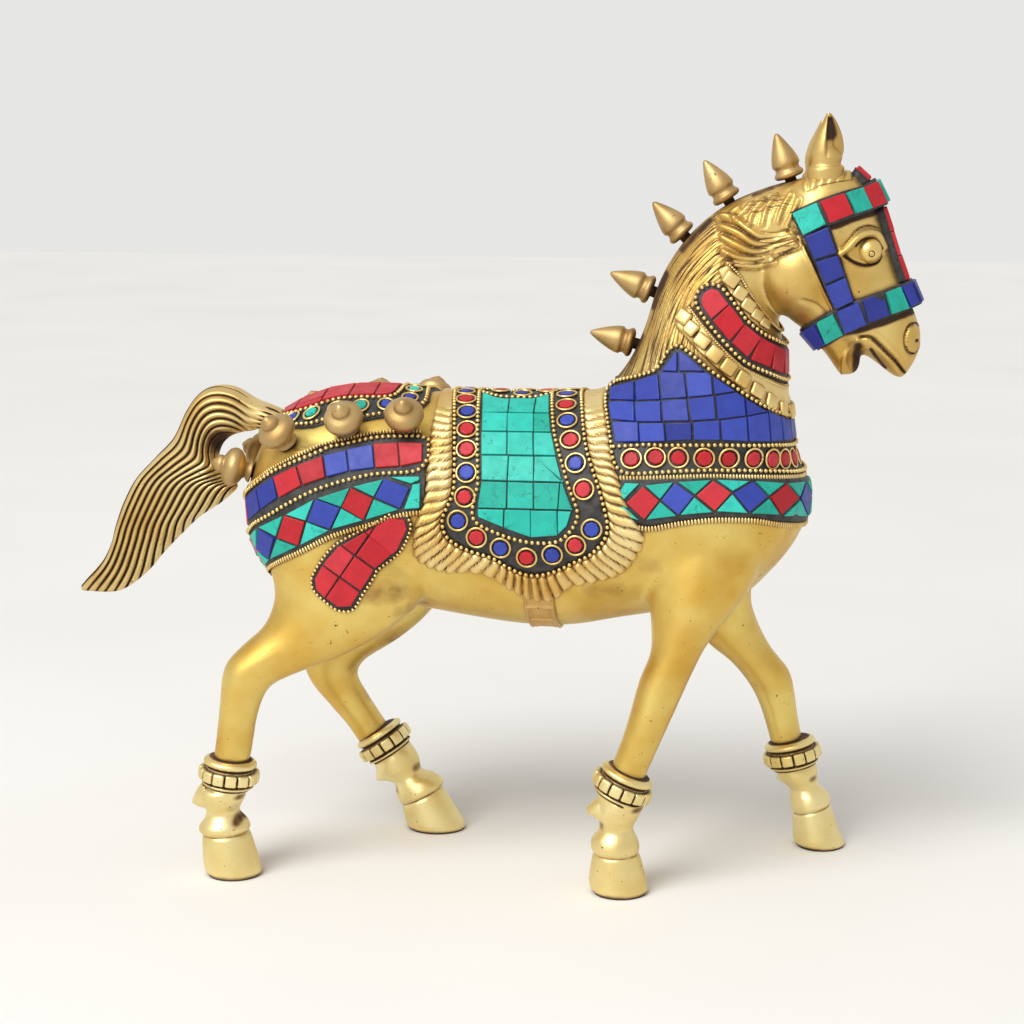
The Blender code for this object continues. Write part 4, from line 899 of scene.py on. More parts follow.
# Mane finials and crupper bells
# Turned brass, left dull. Five pointed finials stand along the crest and four round bells on each
# side of the rump, each on a dark stem that is brazed into the casting.
FINIAL_HEIGHT = 17.4
finial_turning = [
    (2.0, -2.0), (2.0, 1.3), (3.9, 1.5), (4.8, 1.9), (5.15, 2.5), (5.1, 3.2), (4.6, 3.8), (4.25, 4.3),
    (4.2, 5.0), (4.35, 5.4), (4.85, 6.0), (4.9, 6.6), (4.75, 7.6), (4.3, 9.2), (3.65, 11.0), (2.75, 13.1),
    (1.85, 15.0), (1.1, 16.4), (0.6, 17.1), (0, 17.4),
]
BELL_HEIGHT = 15.0
bell_turning = [
    (2.2, -1.5), (2.2, 0.5), (3.9, 0.6), (4.1, 1.0), (3.9, 1.5), (2.7, 2.5), (3.2, 3.2), (5.1, 4.2),
    (6.4, 5.4), (7.0, 6.9), (6.9, 8.2), (6.2, 9.4), (4.9, 10.3), (3.7, 10.8), (3.1, 11.2), (3.3, 11.8),
    (3.15, 12.6), (2.4, 13.4), (1.5, 14.1), (0.9, 14.8), (0, 15.0),
]
# Lathe-turned brass without polish: browner, with broad soft highlights
dull_brass = old_brass(
    "dull_turned_brass", "#C8AC78", "#A6844F", "#3A2413", reach=3.0, grime_and_shade=1.0, rough=0.42
)


def turned(outline, place):
    """Spins an outline of (radius, height) pairs in mm, rounded by a small bevel."""
    made = bmesh.new()
    verts = [made.verts.new((radius * MM, 0, height * MM)) for radius, height in outline]
    edges = [made.edges.new(pair) for pair in zip(verts, verts[1:])]
    bmesh.ops.spin(
        made, geom=[*verts, *edges], cent=(0, 0, 0), axis=(0, 0, 1), angle=2 * math.pi, steps=56,
        use_merge=True,
    )
    bmesh.ops.remove_doubles(made, verts=made.verts, dist=0.00001)
    bmesh.ops.holes_fill(made, edges=[edge for edge in made.edges if edge.is_boundary], sides=0)
    bmesh.ops.transform(made, matrix=place, verts=made.verts)
    return made


def standing(name, height):
    """Where a stud of the CAD model stands: its seat, turned so that up points to its tip."""
    spots = [vert.co.copy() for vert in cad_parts[name].data.vertices]
    centre = sum(spots, Vector()) / len(spots)
    tip = max(spots, key=lambda spot: (spot - centre).length)
    way = (tip - centre).normalized()
    seat = tip - way * height * MM
    return Matrix.Translation(seat) @ way.to_track_quat("Z", "Y").to_matrix().to_4x4()


finials = [(f"mane_finial_{number}", finial_turning, FINIAL_HEIGHT) for number in range(1, 6)]
bells = [
    (f"{side}_bell_{number}", bell_turning, BELL_HEIGHT)
    for side in ("near", "far")
    for number in range(1, 5)
]
for name, turning, height in [*finials, *bells]:
    stud = piece(f"turned_{name}", turned(turning, standing(name, height)), dull_brass)
    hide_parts(name)

# Saddle cloth
# A cast cloth with a pleated fringe is filled with black lac. Turquoise is pressed into its
# middle, and a border of coral and lapis chips in brass wire rings goes round between beads.
GUIDE_STEPS = 720
RAY_START = 60  # mm outside the guide oval


def wrap(centre, front, axis, reach, half, power=2.0, tree=body_tree):
    """Lays flat drawings on the casting: u runs round a guide oval from its front, v along the axis.

    reach and half are the oval's half sizes in mm to the front and to the side. A power over 2
    makes it squarer.
    """
    centre, front, axis, side = Vector(centre), Vector(front), Vector(axis), Vector((0, -1, 0))
    oval = []
    for k in range(GUIDE_STEPS + 1):
        angle = math.pi * (2 * k / GUIDE_STEPS - 1)
        c, s = math.cos(angle), math.sin(angle)
        x = reach * math.copysign(abs(c) ** (2 / power), c)
        y = half * math.copysign(abs(s) ** (2 / power), s)
        oval.append(Vector((x, y)))
    lengths = np.cumsum([0] + [(b - a).length for a, b in zip(oval, oval[1:])])
    lengths -= lengths[GUIDE_STEPS // 2]

    def at(u, v, lift=0.0, mirrored=False):
        """The place on the casting, lifted by some mm, and its normal."""
        u = -u if mirrored else u
        k = min(max(int(np.searchsorted(lengths, u)), 1), GUIDE_STEPS)
        share = (u - lengths[k - 1]) / (lengths[k] - lengths[k - 1])
        spot = oval[k - 1].lerp(oval[k], share)
        run = oval[min(k + 2, GUIDE_STEPS)] - oval[max(k - 3, 0)]
        out = (front * run.y - side * run.x).normalized()
        base = centre + axis * v + front * spot.x + side * spot.y
        place, normal, _, _ = tree.ray_cast((base + out * RAY_START) * MM, -out)
        if place is None:
            place, normal, _, _ = tree.find_nearest(base * MM)
        return place + normal * lift * MM, normal

    return at


def spaced(points, spacing=1.0):
    """Points spaced evenly along straight lines between corners."""
    made = []
    for a, b in zip(points, points[1:]):
        steps = max(1, round((b - a).length / spacing))
        made += [a.lerp(b, k / steps) for k in range(steps)]
    return [*made, points[-1]]


def sliced(outline, cuts):
    """Cuts a flat outline along lines given by two points; each cuts only what lies beside it."""
    flat = bmesh.new()
    flat.faces.new([flat.verts.new((u, v, 0)) for u, v in outline])
    for first, second in cuts:
        first, second = Vector(first).to_3d(), Vector(second).to_3d()
        run = second - first
        beside = []
        for face in flat.faces:
            share = (face.calc_center_median() - first).dot(run) / run.length_squared
            if -0.02 <= share <= 1.02:
                beside.append(face)
        items = {item for face in beside for item in (face, *face.edges, *face.verts)}
        bmesh.ops.bisect_plane(
            flat, geom=list(items), plane_co=first, plane_no=run.cross(Vector((0, 0, 1)))
        )
    return flat


def gridded(outline, pitch):
    """Cuts a flat outline into squares that can follow a curved surface."""
    us, vs = [p[0] for p in outline], [p[1] for p in outline]
    cuts = []
    for k in range(1, int((max(us) - min(us)) / pitch) + 1):
        u = min(us) + k * pitch
        cuts.append(((u, min(vs) - 50), (u, max(vs) + 50)))
    for k in range(1, int((max(vs) - min(vs)) / pitch) + 1):
        v = min(vs) + k * pitch
        cuts.append(((min(us) - 50, v), (max(us) + 50, v)))
    return sliced(outline, cuts)


def bent(u, hump):
    """Lift in mm of a band that rises by hump[0] at the front and is down again at u = hump[1]."""
    return hump[0] * min(1, max(0, 2 - 2 * abs(u) / hump[1]))


def laid(bm, at, mirrored, hump=(0, 1)):
    """Moves flat drawings, with height as z, onto the casting."""
    for vert in bm.verts:
        u, v, lift = vert.co
        vert.co = at(u, v, lift + bent(u, hump), mirrored)[0]
    return bm


def joined(parts):
    """Puts several meshes into one."""
    whole = bmesh.new()
    for part in parts:
        absorb(whole, part)
    return whole


def both_sides(half):
    """A near-side outline that starts and ends at the middle, joined to its mirror image."""
    return [*half, *[(-u, v) for u, v in reversed(half) if u > 0.01]]


def tiles(*corner_sets):
    """Flat tiles drawn corner by corner."""
    flat = bmesh.new()
    for corners in corner_sets:
        flat.faces.new([flat.verts.new((u, v, 0)) for u, v in corners])
    return flat


def lac_bed(at, outline, lift=0.9, mirrored=False, hump=(0, 1)):
    """A skin of lac, or a thin cast strip, over an outline, with its edge turned down."""
    flat = gridded(outline, 2.0)
    bmesh.ops.translate(flat, verts=flat.verts, vec=(0, 0, lift))
    rim = [edge for edge in flat.edges if edge.is_boundary]
    turned = bmesh.ops.extrude_edge_only(flat, edges=rim)["geom"]
    low = [item for item in turned if isinstance(item, bmesh.types.BMVert)]
    bmesh.ops.translate(flat, verts=low, vec=(0, 0, -lift - 0.5))
    return laid(flat, at, mirrored, hump)


CHIP_BEVEL = 0.26
CORNER_LUCK, THICKNESS_LUCK, TILT_LUCK = 0.1, 0.12, 0.08  # mm either way


def chip_set(at, flat, joint, low=0.3, high=1.9, mirrored=False, seed=1, hump=(0, 1)):
    """Turns flat faces into stiff flat chips with open joints, worn edges and a slight tilt."""
    luck = random.Random(seed)
    chips = bmesh.new()
    for face in flat.faces:
        chip = bmesh.new()
        chip.faces.new([chip.verts.new(vert.co) for vert in face.verts])
        chip.normal_update()
        rim = bmesh.ops.inset_individual(
            chip, faces=chip.faces[:], thickness=joint / 2, use_even_offset=True
        )["faces"]
        bmesh.ops.delete(chip, geom=rim, context="FACES")
        bmesh.ops.dissolve_degenerate(chip, dist=0.25, edges=chip.edges)
        if not chip.faces:
            chip.free()
            continue
        for vert in chip.verts:
            vert.co += Vector([luck.uniform(-CORNER_LUCK, CORNER_LUCK) for _ in range(2)]).to_3d()
        flat_spots = [tuple(vert.co)[:2] for vert in chip.verts]
        risen = bmesh.ops.extrude_face_region(chip, geom=chip.faces[:], use_keep_orig=True)["geom"]
        top = [item for item in risen if isinstance(item, bmesh.types.BMFace)][0]
        thick = high - low + luck.uniform(-THICKNESS_LUCK, THICKNESS_LUCK)
        bmesh.ops.translate(chip, verts=top.verts, vec=(0, 0, thick))
        upper = {edge for vert in top.verts for edge in vert.link_edges}
        bmesh.ops.bevel(
            chip, geom=list(upper), offset=CHIP_BEVEL, offset_type="OFFSET", segments=2, profile=0.5,
            affect="EDGES", material=-1, clamp_overlap=True,
        )
        # The corners are laid on the curved casting, and the flat chip is fitted to them
        seats, facing = [], Vector()
        for u, v in flat_spots:
            lift = low + bent(u, hump) + luck.uniform(-TILT_LUCK, TILT_LUCK)
            seat, normal = at(u, v, lift, mirrored)
            seats.append(seat)
            facing += normal
        fit = np.linalg.lstsq(np.array([(u, v, 1) for u, v in flat_spots]), np.array(seats), rcond=None)[0]
        up = Vector(fit[0]).cross(Vector(fit[1])).normalized()
        up *= math.copysign(MM, up.dot(facing))
        for vert in chip.verts:
            u, v, height = vert.co
            vert.co = Vector(np.array((u, v, 1)) @ fit) + up * height
        absorb(chips, chip)
    return chips


def stone_piece(name, chips, finish, *nodes):
    """A set of chips as one flat-shaded piece in its stone's finish, in place of the CAD parts it covers.
    """
    made = piece(name, chips, finish, smooth=False)
    if nodes:
        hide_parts(*nodes)


def metal_piece(name, bm, finish, slot, *nodes):
    """A piece of brass or lac."""
    made = piece(name, bm, finish)
    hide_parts(*nodes)


BEADS_AT_ONCE = 40  # a sphere is added faster to a small mesh


def bead_row(bm, at, path, mirrored=False, pitch=2.05, radius=0.78, lift=1.5, tall=1.0):
    """Soldered beads at an even pitch on a smooth path, or ribs that are tall times as high as wide."""
    places = [at(spot.x, spot.y, lift, mirrored)[0] for spot in spaced(smoothed(path))]
    steps = [(b - a).length for a, b in zip(places, places[1:])]
    gap = sum(steps) / max(1, round(sum(steps) / (pitch * MM)))
    walked, wanted, row = 0.0, 0.0, []
    for start, end, step in zip(places, places[1:], steps):
        while wanted <= walked + step + 1e-9 and step > 0:
            spot = start.lerp(end, (wanted - walked) / step)
            row.append((spot, (end - start).normalized()))
            wanted += gap
        walked += step
    for first in range(0, len(row), BEADS_AT_ONCE):
        some = bmesh.new()
        for spot, run in row[first : first + BEADS_AT_ONCE]:
            turn = run.to_track_quat("X", "Z").to_matrix().to_4x4()
            place = Matrix.Translation(spot) @ turn @ Matrix.Diagonal((1, 1, tall, 1))
            bmesh.ops.create_uvsphere(some, u_segments=8, v_segments=6, radius=radius * MM, matrix=place)
        absorb(bm, some)


WIRE_RADIUS = 0.42
RING_LIFT = 1.05
STONE_BEVEL = 0.45
STONE_OFF_CENTRE = 0.2


def ring_setting(rings, stones, at, u, v, seed, outer, stretch=1.0, mirrored=False):
    """A brass wire ring stood on the lac, with an eight-sided chip pressed into it."""
    luck = random.Random(seed)
    place, normal = at(u, v, RING_LIFT, mirrored)
    seat = Matrix.Translation(place) @ normal.to_track_quat("Z", "X").to_matrix().to_4x4()
    seat = seat @ Matrix.Diagonal((stretch, 1, 1, 1))
    ring = bmesh.new()
    on_rim = Matrix.Translation(((outer - WIRE_RADIUS) * MM, 0, 0.5 * MM))
    section = on_rim @ Matrix.Rotation(math.pi / 2, 4, "X")
    bmesh.ops.create_circle(ring, segments=8, radius=WIRE_RADIUS * MM, matrix=section)
    bmesh.ops.spin(
        ring, geom=[*ring.verts, *ring.edges], cent=(0, 0, 0), axis=(0, 0, 1), angle=2 * math.pi,
        steps=28, use_merge=True,
    )
    bmesh.ops.transform(ring, matrix=seat, verts=ring.verts)
    absorb(rings, ring)
    chip = bmesh.new()
    inner = (outer - 2 * WIRE_RADIUS - luck.uniform(0.15, 0.45)) * MM
    for vert in bmesh.ops.create_circle(chip, segments=8, radius=inner, cap_ends=True)["verts"]:
        vert.co *= luck.uniform(0.90, 1.0)
    risen = bmesh.ops.extrude_face_region(chip, geom=chip.faces[:], use_keep_orig=True)["geom"]
    crown = [item for item in risen if isinstance(item, bmesh.types.BMFace)][0]
    bmesh.ops.translate(chip, verts=crown.verts, vec=(0, 0, luck.uniform(1.0, 1.25) * MM))
    bmesh.ops.bevel(
        chip, geom=list(crown.edges), offset=STONE_BEVEL * MM, offset_type="OFFSET", segments=2,
        profile=0.5, affect="EDGES", material=-1,
    )
    aside = [luck.uniform(-STONE_OFF_CENTRE, STONE_OFF_CENTRE) * MM for _ in range(2)]
    bmesh.ops.transform(chip, matrix=seat @ Matrix.Translation((*aside, 0)), verts=chip.verts)
    absorb(stones, chip)


def chip_stone(name, tones, scratch, veins=None):
    """Opaque dyed stone: strong colour, a tone of its own on each chip, and a dull wax shine.

    tones are the three that chips vary between, and scratch the pale dust in the grinding marks.
    """
    material, tree, shader, place = new_material(name)
    each = node(tree, "ShaderNodeNewGeometry", out="Random Per Island")
    # Clouds in the dye and grinding dust, each by its size in mm
    cloud, dust = [
        node(tree, "ShaderNodeTexNoise", {"Vector": place, "Scale": 1 / (size * MM), "Detail": detail})
        for size, detail in ((4, 5), (0.6, 2))
    ]
    tone = node(tree, "ShaderNodeValToRGB", {"Fac": each}, stops=list(zip((0.0, 0.5, 1.0), tones)))
    shade = node(tree, "ShaderNodeValToRGB", {"Fac": cloud}, stops=((0.3, 0.80), (0.7, 1.0)))
    tone = node(
        tree, "ShaderNodeMix", {"Factor": 1.0, 6: tone, 7: shade}, 2, data_type="RGBA",
        blend_type="MULTIPLY",
    )
    dusty = node(tree, "ShaderNodeValToRGB", {"Fac": dust}, stops=((0.62, 0.0), (0.80, 0.25)))
    tone = node(tree, "ShaderNodeMix", {"Factor": dusty, 6: tone, 7: scratch}, 2, data_type="RGBA")
    if veins:
        # Dark hairlines round crackles of 5.2 mm, which wander and break off here and there
        wander = node(tree, "ShaderNodeTexNoise", {"Vector": place, "Scale": 1 / (6 * MM), "Detail": 4})
        wandered = node(
            tree, "ShaderNodeMix", {"Factor": 0.012, 6: place, 7: wander.node.outputs["Color"]}, 2,
            data_type="RGBA", blend_type="ADD",
        )
        crack = node(
            tree, "ShaderNodeTexVoronoi", {"Vector": wandered, "Scale": 1 / (5.2 * MM)},
            feature="DISTANCE_TO_EDGE",
        )
        where = node(tree, "ShaderNodeValToRGB", {"Fac": wander}, stops=((0.48, 0.0), (0.58, 0.9)))
        line = node(tree, "ShaderNodeValToRGB", {"Fac": crack}, stops=((0.006, 1.0), (0.020, 0.0)))
        line = node(tree, "ShaderNodeMath", {0: line, 1: where}, operation="MULTIPLY")
        tone = node(tree, "ShaderNodeMix", {"Factor": line, 6: tone, 7: veins}, 2, data_type="RGBA")
    wear = node(tree, "ShaderNodeValToRGB", {"Fac": cloud}, stops=((0.3, 0.52), (0.7, 0.38)))
    bump = node(tree, "ShaderNodeBump", {"Height": cloud, "Strength": 0.5, "Distance": 0.1 * MM})
    for key, value in {"Base Color": tone, "Roughness": wear, "Normal": bump}.items():
        tree.links.new(value, shader[key])
    shader["Specular IOR Level"].default_value = 0.32
    return material


def pitch_lac(name):
    """Black pitch lac: matt and uneven, with brass filings and grit pressed into it."""
    material, tree, shader, place = new_material(name)
    cloud, grit = [
        node(tree, "ShaderNodeTexNoise", {"Vector": place, "Scale": 1 / (size * MM), "Detail": detail})
        for size, detail in ((3, 6), (0.5, 2))
    ]
    tone = node(tree, "ShaderNodeValToRGB", {"Fac": cloud}, stops=((0.35, "#1B1A19"), (0.70, "#3F3D3A")))
    speck = node(tree, "ShaderNodeValToRGB", {"Fac": grit}, stops=((0.68, 0.0), (0.78, 0.5)))
    tone = node(tree, "ShaderNodeMix", {"Factor": speck, 6: tone, 7: "#6E604A"}, 2, data_type="RGBA")
    bump = node(tree, "ShaderNodeBump", {"Height": cloud, "Strength": 0.7, "Distance": 0.4 * MM})
    for key, value in {"Base Color": tone, "Normal": bump}.items():
        tree.links.new(value, shader[key])
    shader["Roughness"].default_value = 0.55
    return material


# Stone chips dyed red and blue, and a turquoise-coloured one crackled with dark veins
coral = chip_stone("dyed_coral", ("#CF3640", "#C4242E", "#B21A24"), "#DC7078")
lapis = chip_stone("dyed_lapis", ("#3E50B4", "#3141A0", "#27348A"), "#6A78C8")
turquoise = chip_stone(
    "crackled_turquoise", ("#34C8B6", "#28BEAB", "#1EA792"), "#74D8CA", veins="#14665A"
)
lac = pitch_lac("black_pitch_lac")
# Chased cast brass: pale and bright on every ridge, brown between, which is tarnish and painted shade
chased_brass = old_brass(
    "chased_cast_brass", "#EFD898", "#D6AC5A", "#4A2C12", reach=2.6, grime_and_shade=1.0, rough=0.34, marked=True
)
# Drawn brass wire and beads: the sharpest glints of the horse
bright_wire = old_brass(
    "bright_brass_wire", "#EED390", "#DDB768", "#4A2C12", reach=1.2, grime_and_shade=0.8, rough=0.26
)

on_barrel = wrap((0, 0, 131), (0, 0, 1), (1, 0, 0), 41.5, 37)
saddle_field = [
    (4.3, -0.4), (8.3, 4.4), (9.9, 8.5), (9.9, 18.6), (5.8, 23.8), (19.3, 25.5), (28.1, 27.2),
    (37.2, 29.5), (46.3, 32.5), (55.6, 36.0), (61.0, 34.3), (64.4, 31.0), (65.2, 21.6),
    (62.0, 11.9), (58.6, 3.4), (55.6, 3.0), (46.3, 4.2), (37.2, 3.5), (28.1, 2.6), (19.3, 1.6),
]
field_cuts = [
    ((19.3, -10), (19.3, 50)), ((28.1, -10), (28.1, 50)), ((37.2, -10), (37.2, 50)),
    ((46.3, -10), (46.3, 50)), ((55.6, -10), (55.6, 50)),
    ((0, 9.6), (19.3, 10.8)), ((0, 19.0), (19.3, 20.0)),
    ((19.3, 10.8), (37.2, 12.5)), ((19.3, 20.0), (37.2, 21.7)),
    ((37.2, 13.1), (55.6, 13.3)), ((37.2, 22.0), (55.6, 22.7)), ((46.3, 31.6), (55.6, 31.2)),
    ((55.6, 12.4), (70, 12.0)), ((55.6, 21.6), (70, 21.8)), ((55.6, 30.8), (70, 31.2)),
]
turquoise_field = sliced(saddle_field, field_cuts)
for name, flipped in (("near", False), ("far", True)):
    chips = chip_set(on_barrel, turquoise_field, joint=0.36, mirrored=flipped, seed=3)
    stone_piece(f"saddle_turquoise_chips_{name}", chips, turquoise, f"saddle_turquoise_{name}")

border_outer = [
    (0, -10.8), (4.4, -10.4), (29, -6.8), (47.6, -5.3), (53.9, -6.8), (59.6, -9.2), (65.6, -7.7),
    (69.8, -1.5), (73, 8.6), (76.2, 13.5), (79, 20.9), (77.8, 28.4), (73.6, 36.7), (69.6, 43.5),
    (62, 48.3), (50.8, 46), (40.8, 42.3), (30.9, 39.2), (7.7, 35.5), (0, 35.0),
]
border_inner = [
    (0, -2.2), (2.8, -1.8), (19, 0.2), (28.6, 1.2), (38.6, 2.2), (47.4, 2.9), (52.4, 1.9),
    (59.6, 1.9), (63.9, 10.0), (66.6, 20.0), (66.5, 30.0), (62.8, 35.2), (56.7, 38.0), (48.4, 34.9),
    (40.6, 32.2), (29.7, 28.6), (19, 26.6), (5.8, 24.8), (0, 24.4),
]
arc_line = [(2.8, -1.6), (7.2, 4.0), (8.8, 8.5), (8.8, 18.6), (4.7, 24.2)]
bed = lac_bed(on_barrel, both_sides(border_outer))
metal_piece("saddle_lac_bed", bed, lac, "black_lac", "saddle_ring_border")

border_beads = bmesh.new()
for flipped in (False, True):
    for path in (border_outer, border_inner, arc_line):
        bead_row(border_beads, on_barrel, path, flipped)
metal_piece("saddle_border_beads", border_beads, bright_wire, "bright_brass", "saddle_ring_border")

# u, v and stone of each ring of the near half
border_rings = [
    (3.9, -6.4, "b"), (11.2, -5.2, "r"), (19.2, -3.6, "b"), (27.5, -2.6, "r"), (35.4, -1.9, "r"),
    (43.7, -1.3, "b"), (51.9, -1.4, "r"), (59.9, -3.8, "b"), (65.6, 2.8, "r"), (69.0, 11.1, "b"),
    (72.2, 20.2, "r"), (70.9, 29.1, "b"), (67.4, 37.2, "r"), (61.6, 42.8, "b"), (48.4, 39.9, "r"),
    (39.5, 36.6, "b"), (30.9, 34.1, "r"), (22.8, 32.2, "b"), (14.4, 30.9, "r"), (5.6, 30.0, "b"),
    (4.7, 14.2, "b"),
]
# On the spine, beside two smaller rings of each half
spine_ring_places = (5.6, 22.6)
SMALL_RING = 3.5
RING = 3.85
rings, red_stones, blue_stones = bmesh.new(), bmesh.new(), bmesh.new()
for number, (u, v, stone) in enumerate(border_rings):
    stones = red_stones if stone == "r" else blue_stones
    size = SMALL_RING if u in (3.9, 4.7) else RING
    for flipped in (False, True):
        ring_setting(rings, stones, on_barrel, u, v, number, size, mirrored=flipped)
for number, v in enumerate(spine_ring_places):
    ring_setting(rings, red_stones, on_barrel, 0, v, 90 + number, SMALL_RING)
metal_piece("saddle_border_rings", rings, bright_wire, "bright_brass", "saddle_ring_border")
stone_piece("saddle_border_coral", red_stones, coral)
stone_piece("saddle_border_lapis", blue_stones, lapis)

fringe_edge = [
    (0, -16.0), (8, -16.0), (28, -15.6), (35.5, -15.4), (44.8, -15.6), (53.6, -16.2), (61.4, -19.0),
    (69, -20.3), (75.0, -19.9), (78.6, -15.0), (80.4, -8.3), (79.4, 0.0), (81.4, 7.6), (85.9, 13.2),
    (91.0, 21.4), (90.4, 29.0), (84.6, 34.6), (82.6, 43.2), (79.5, 52.6), (72, 58.4), (64.4, 61.2),
    (54.7, 55.8), (45.3, 52.4), (35.4, 49.2), (19.4, 46.4), (8, 44.8), (0, 44.2),
]
PLEAT = 3.35
PLEAT_HEIGHT = 1.6


def pleated_fringe(mirrored):
    """A cast strip of S-shaped pleats between the border's beads and the cloth's lower edge."""
    inner, outer = spaced(smoothed(border_outer), 0.25), spaced(smoothed(fringe_edge), 0.25)
    inner_run, outer_run = (
        np.cumsum([0] + [(b - a).length for a, b in zip(line, line[1:])]) for line in (inner, outer)
    )
    total = (inner_run[-1] + outer_run[-1]) / 2
    strip = bmesh.new()
    stain = strip.verts.layers.float.new("stain")
    bmesh.ops.create_grid(strip, x_segments=620, y_segments=9, size=0.5)
    for vert in strip.verts:
        # s runs along the fringe from the spine behind the saddle to the spine before it, and t
        # from the border's beads to the cloth's edge
        s, t = vert.co.x + 0.5, vert.co.y + 0.5
        first = inner[int(np.searchsorted(inner_run, s * inner_run[-1] * 0.9999))]
        last = outer[int(np.searchsorted(outer_run, s * outer_run[-1] * 0.9999))]
        run = s * total
        lean = t * t * (3 - 2 * t) * (0.8 * math.cos(math.pi * s) + 1.2 * math.sin(2 * math.pi * s))
        phase = run / PLEAT + lean + 0.25 * math.sin(run / 5.7)
        ridge = abs(math.sin(math.pi * phase)) ** 0.65
        fade = min(1.0, max(0.0, (min(run, total - run) - 14) / 10))
        swell = math.sin(math.pi * min(1.0, t * 0.5 + 0.28)) ** 0.5
        lift = 0.6 + swell * (0.3 + PLEAT_HEIGHT * ridge * fade) + 0.4 * (1 - fade)
        # Brown in the folds between the pleats, tarnish and painted shade, and painted shade along the
        # beads' edge
        vert[stain] = max(0, 0.95 - 1.8 * ridge) * fade + 0.3 * (1 - t) ** 6
        flat = first.lerp(last, t * (0.95 + 0.075 * ridge * fade))
        # Both long edges are turned in under the lac and the casting
        if t < 0.001:
            lift = -0.2
        elif t >= 0.999:
            lift = -0.5
        vert.co = on_barrel(flat.x, flat.y, lift, mirrored)[0]
    return strip


fringe = joined([pleated_fringe(False), pleated_fringe(True)])
metal_piece("saddle_pleated_fringe", fringe, chased_brass, "brass", "saddle_fringe")

# Breast collar
# Three cast bands run round the chest below the saddle's front: lapis tiles up to a peak on
# each shoulder, a row of coral in wire rings, and coral and lapis diamonds between turquoise.
on_chest = wrap((45, 0, 0), (1, 0, 0), (0, 0, 1), 70, 37, 2.8)
chest_bed = [
    (0, 167.0), (14, 168.6), (28.9, 172), (38.2, 176.4), (43.7, 180), (50.4, 184.2), (57.2, 190),
    (62.6, 193.2), (65.6, 192.4), (71.4, 184.6), (80, 181.6), (90.4, 177.4), (91.0, 172),
    (90.2, 166), (89.0, 161), (87.2, 155), (84.6, 149.4), (83.4, 147.0), (85.0, 144), (84.4, 138.4),
    (80.4, 134.4), (73.7, 132.6), (63.2, 134.6), (51.2, 136.0), (37.9, 135.4), (27.9, 133.3),
    (9.9, 130.8), (0, 130.4),
]
lapis_outline = [
    (0, 165.5), (14, 167.0), (28.9, 170.5), (38.2, 174.8), (43.7, 178.4), (50.4, 182.6),
    (53.9, 184.8), (58.6, 188.6), (62.4, 191.2), (64.2, 191.0), (66.4, 187.6), (69.9, 183.3),
    (79.4, 179.6), (88.4, 176.4), (88.4, 170.0), (87.2, 165.6), (85.7, 159.0), (60.7, 161.7),
    (48.9, 161.6), (27.7, 159.9), (12, 159.0), (0, 158.7),
]
lapis_cuts = [
    ((98, 183.3), (40, 184.6)), ((98, 170.9), (20, 180.5)), ((98, 165.2), (0, 172.2)),
    ((63.2, 184.1), (63.4, 200)), ((78.4, 173.9), (78.9, 181)), ((69.4, 175.6), (70.2, 183.8)),
    ((60.2, 177.0), (61.0, 184.3)), ((51.1, 177.8), (51.5, 184.2)),
    ((78.2, 167.0), (78.7, 173.4)), ((68.7, 167.8), (69.2, 174.6)), ((59.2, 168.6), (60.2, 175.8)),
    ((50.2, 169.1), (50.7, 177.0)), ((39.2, 169.8), (39.9, 178.2)), ((27.9, 170.5), (28.7, 179)),
    ((76.7, 158), (77.2, 166.6)), ((67.2, 158), (67.9, 167.4)), ((58.0, 158), (58.6, 168.0)),
    ((48.6, 158), (49.1, 168.8)), ((38.5, 158), (39.1, 169.6)), ((28.0, 157), (28.5, 170.2)),
    ((18.6, 157), (18.9, 170.8)), ((9.3, 157), (9.4, 171.5)),
]
chest_rings = [
    (79.7, 154.4), (71.5, 154.9), (63.2, 155.6), (54.4, 155.8), (45.7, 155.7), (36.2, 155.2),
    (26.8, 154.1), (17.8, 153.2), (8.9, 152.4),
]
chest_bead_lines = [
    [
        (89.8, 175.1), (86.2, 178.4), (77.4, 181.5), (70.9, 184.5), (67.6, 189.4), (65.4, 192.0),
        (62.4, 192.6), (57.2, 189.0), (50.4, 183.8), (43.7, 179.6), (38.2, 176.1), (28.9, 171.8),
        (14, 168.3), (0, 166.8),
    ],
    [
        (90.0, 173.4), (89.9, 170.2), (88.9, 165.2), (87.4, 160.0), (86.4, 155.2), (84.4, 151.4),
        (80.5, 149.8), (72.2, 150.2), (60.7, 150.8), (48.9, 151.0), (35.9, 150.2), (25.7, 149.2),
        (12, 147.9), (0, 147.4),
    ],
    [
        (86.2, 157.9), (78.4, 158.6), (72.4, 159.4), (60.7, 160.2), (48.9, 160.3), (35.9, 159.5),
        (20, 158.3), (8, 157.4), (0, 157.2),
    ],
]
chest_ribbed_lines = [
    [
        (84.4, 148.2), (72.2, 148.7), (53.2, 149.1), (36.4, 148.3), (20, 147.0), (8.9, 146.2),
        (0, 145.8),
    ],
    [
        (81, 133.2), (73.7, 131.5), (63.2, 133.5), (51.2, 134.9), (37.9, 134.3), (27.9, 132.2),
        (9.9, 129.7), (0, 129.3),
    ],
]
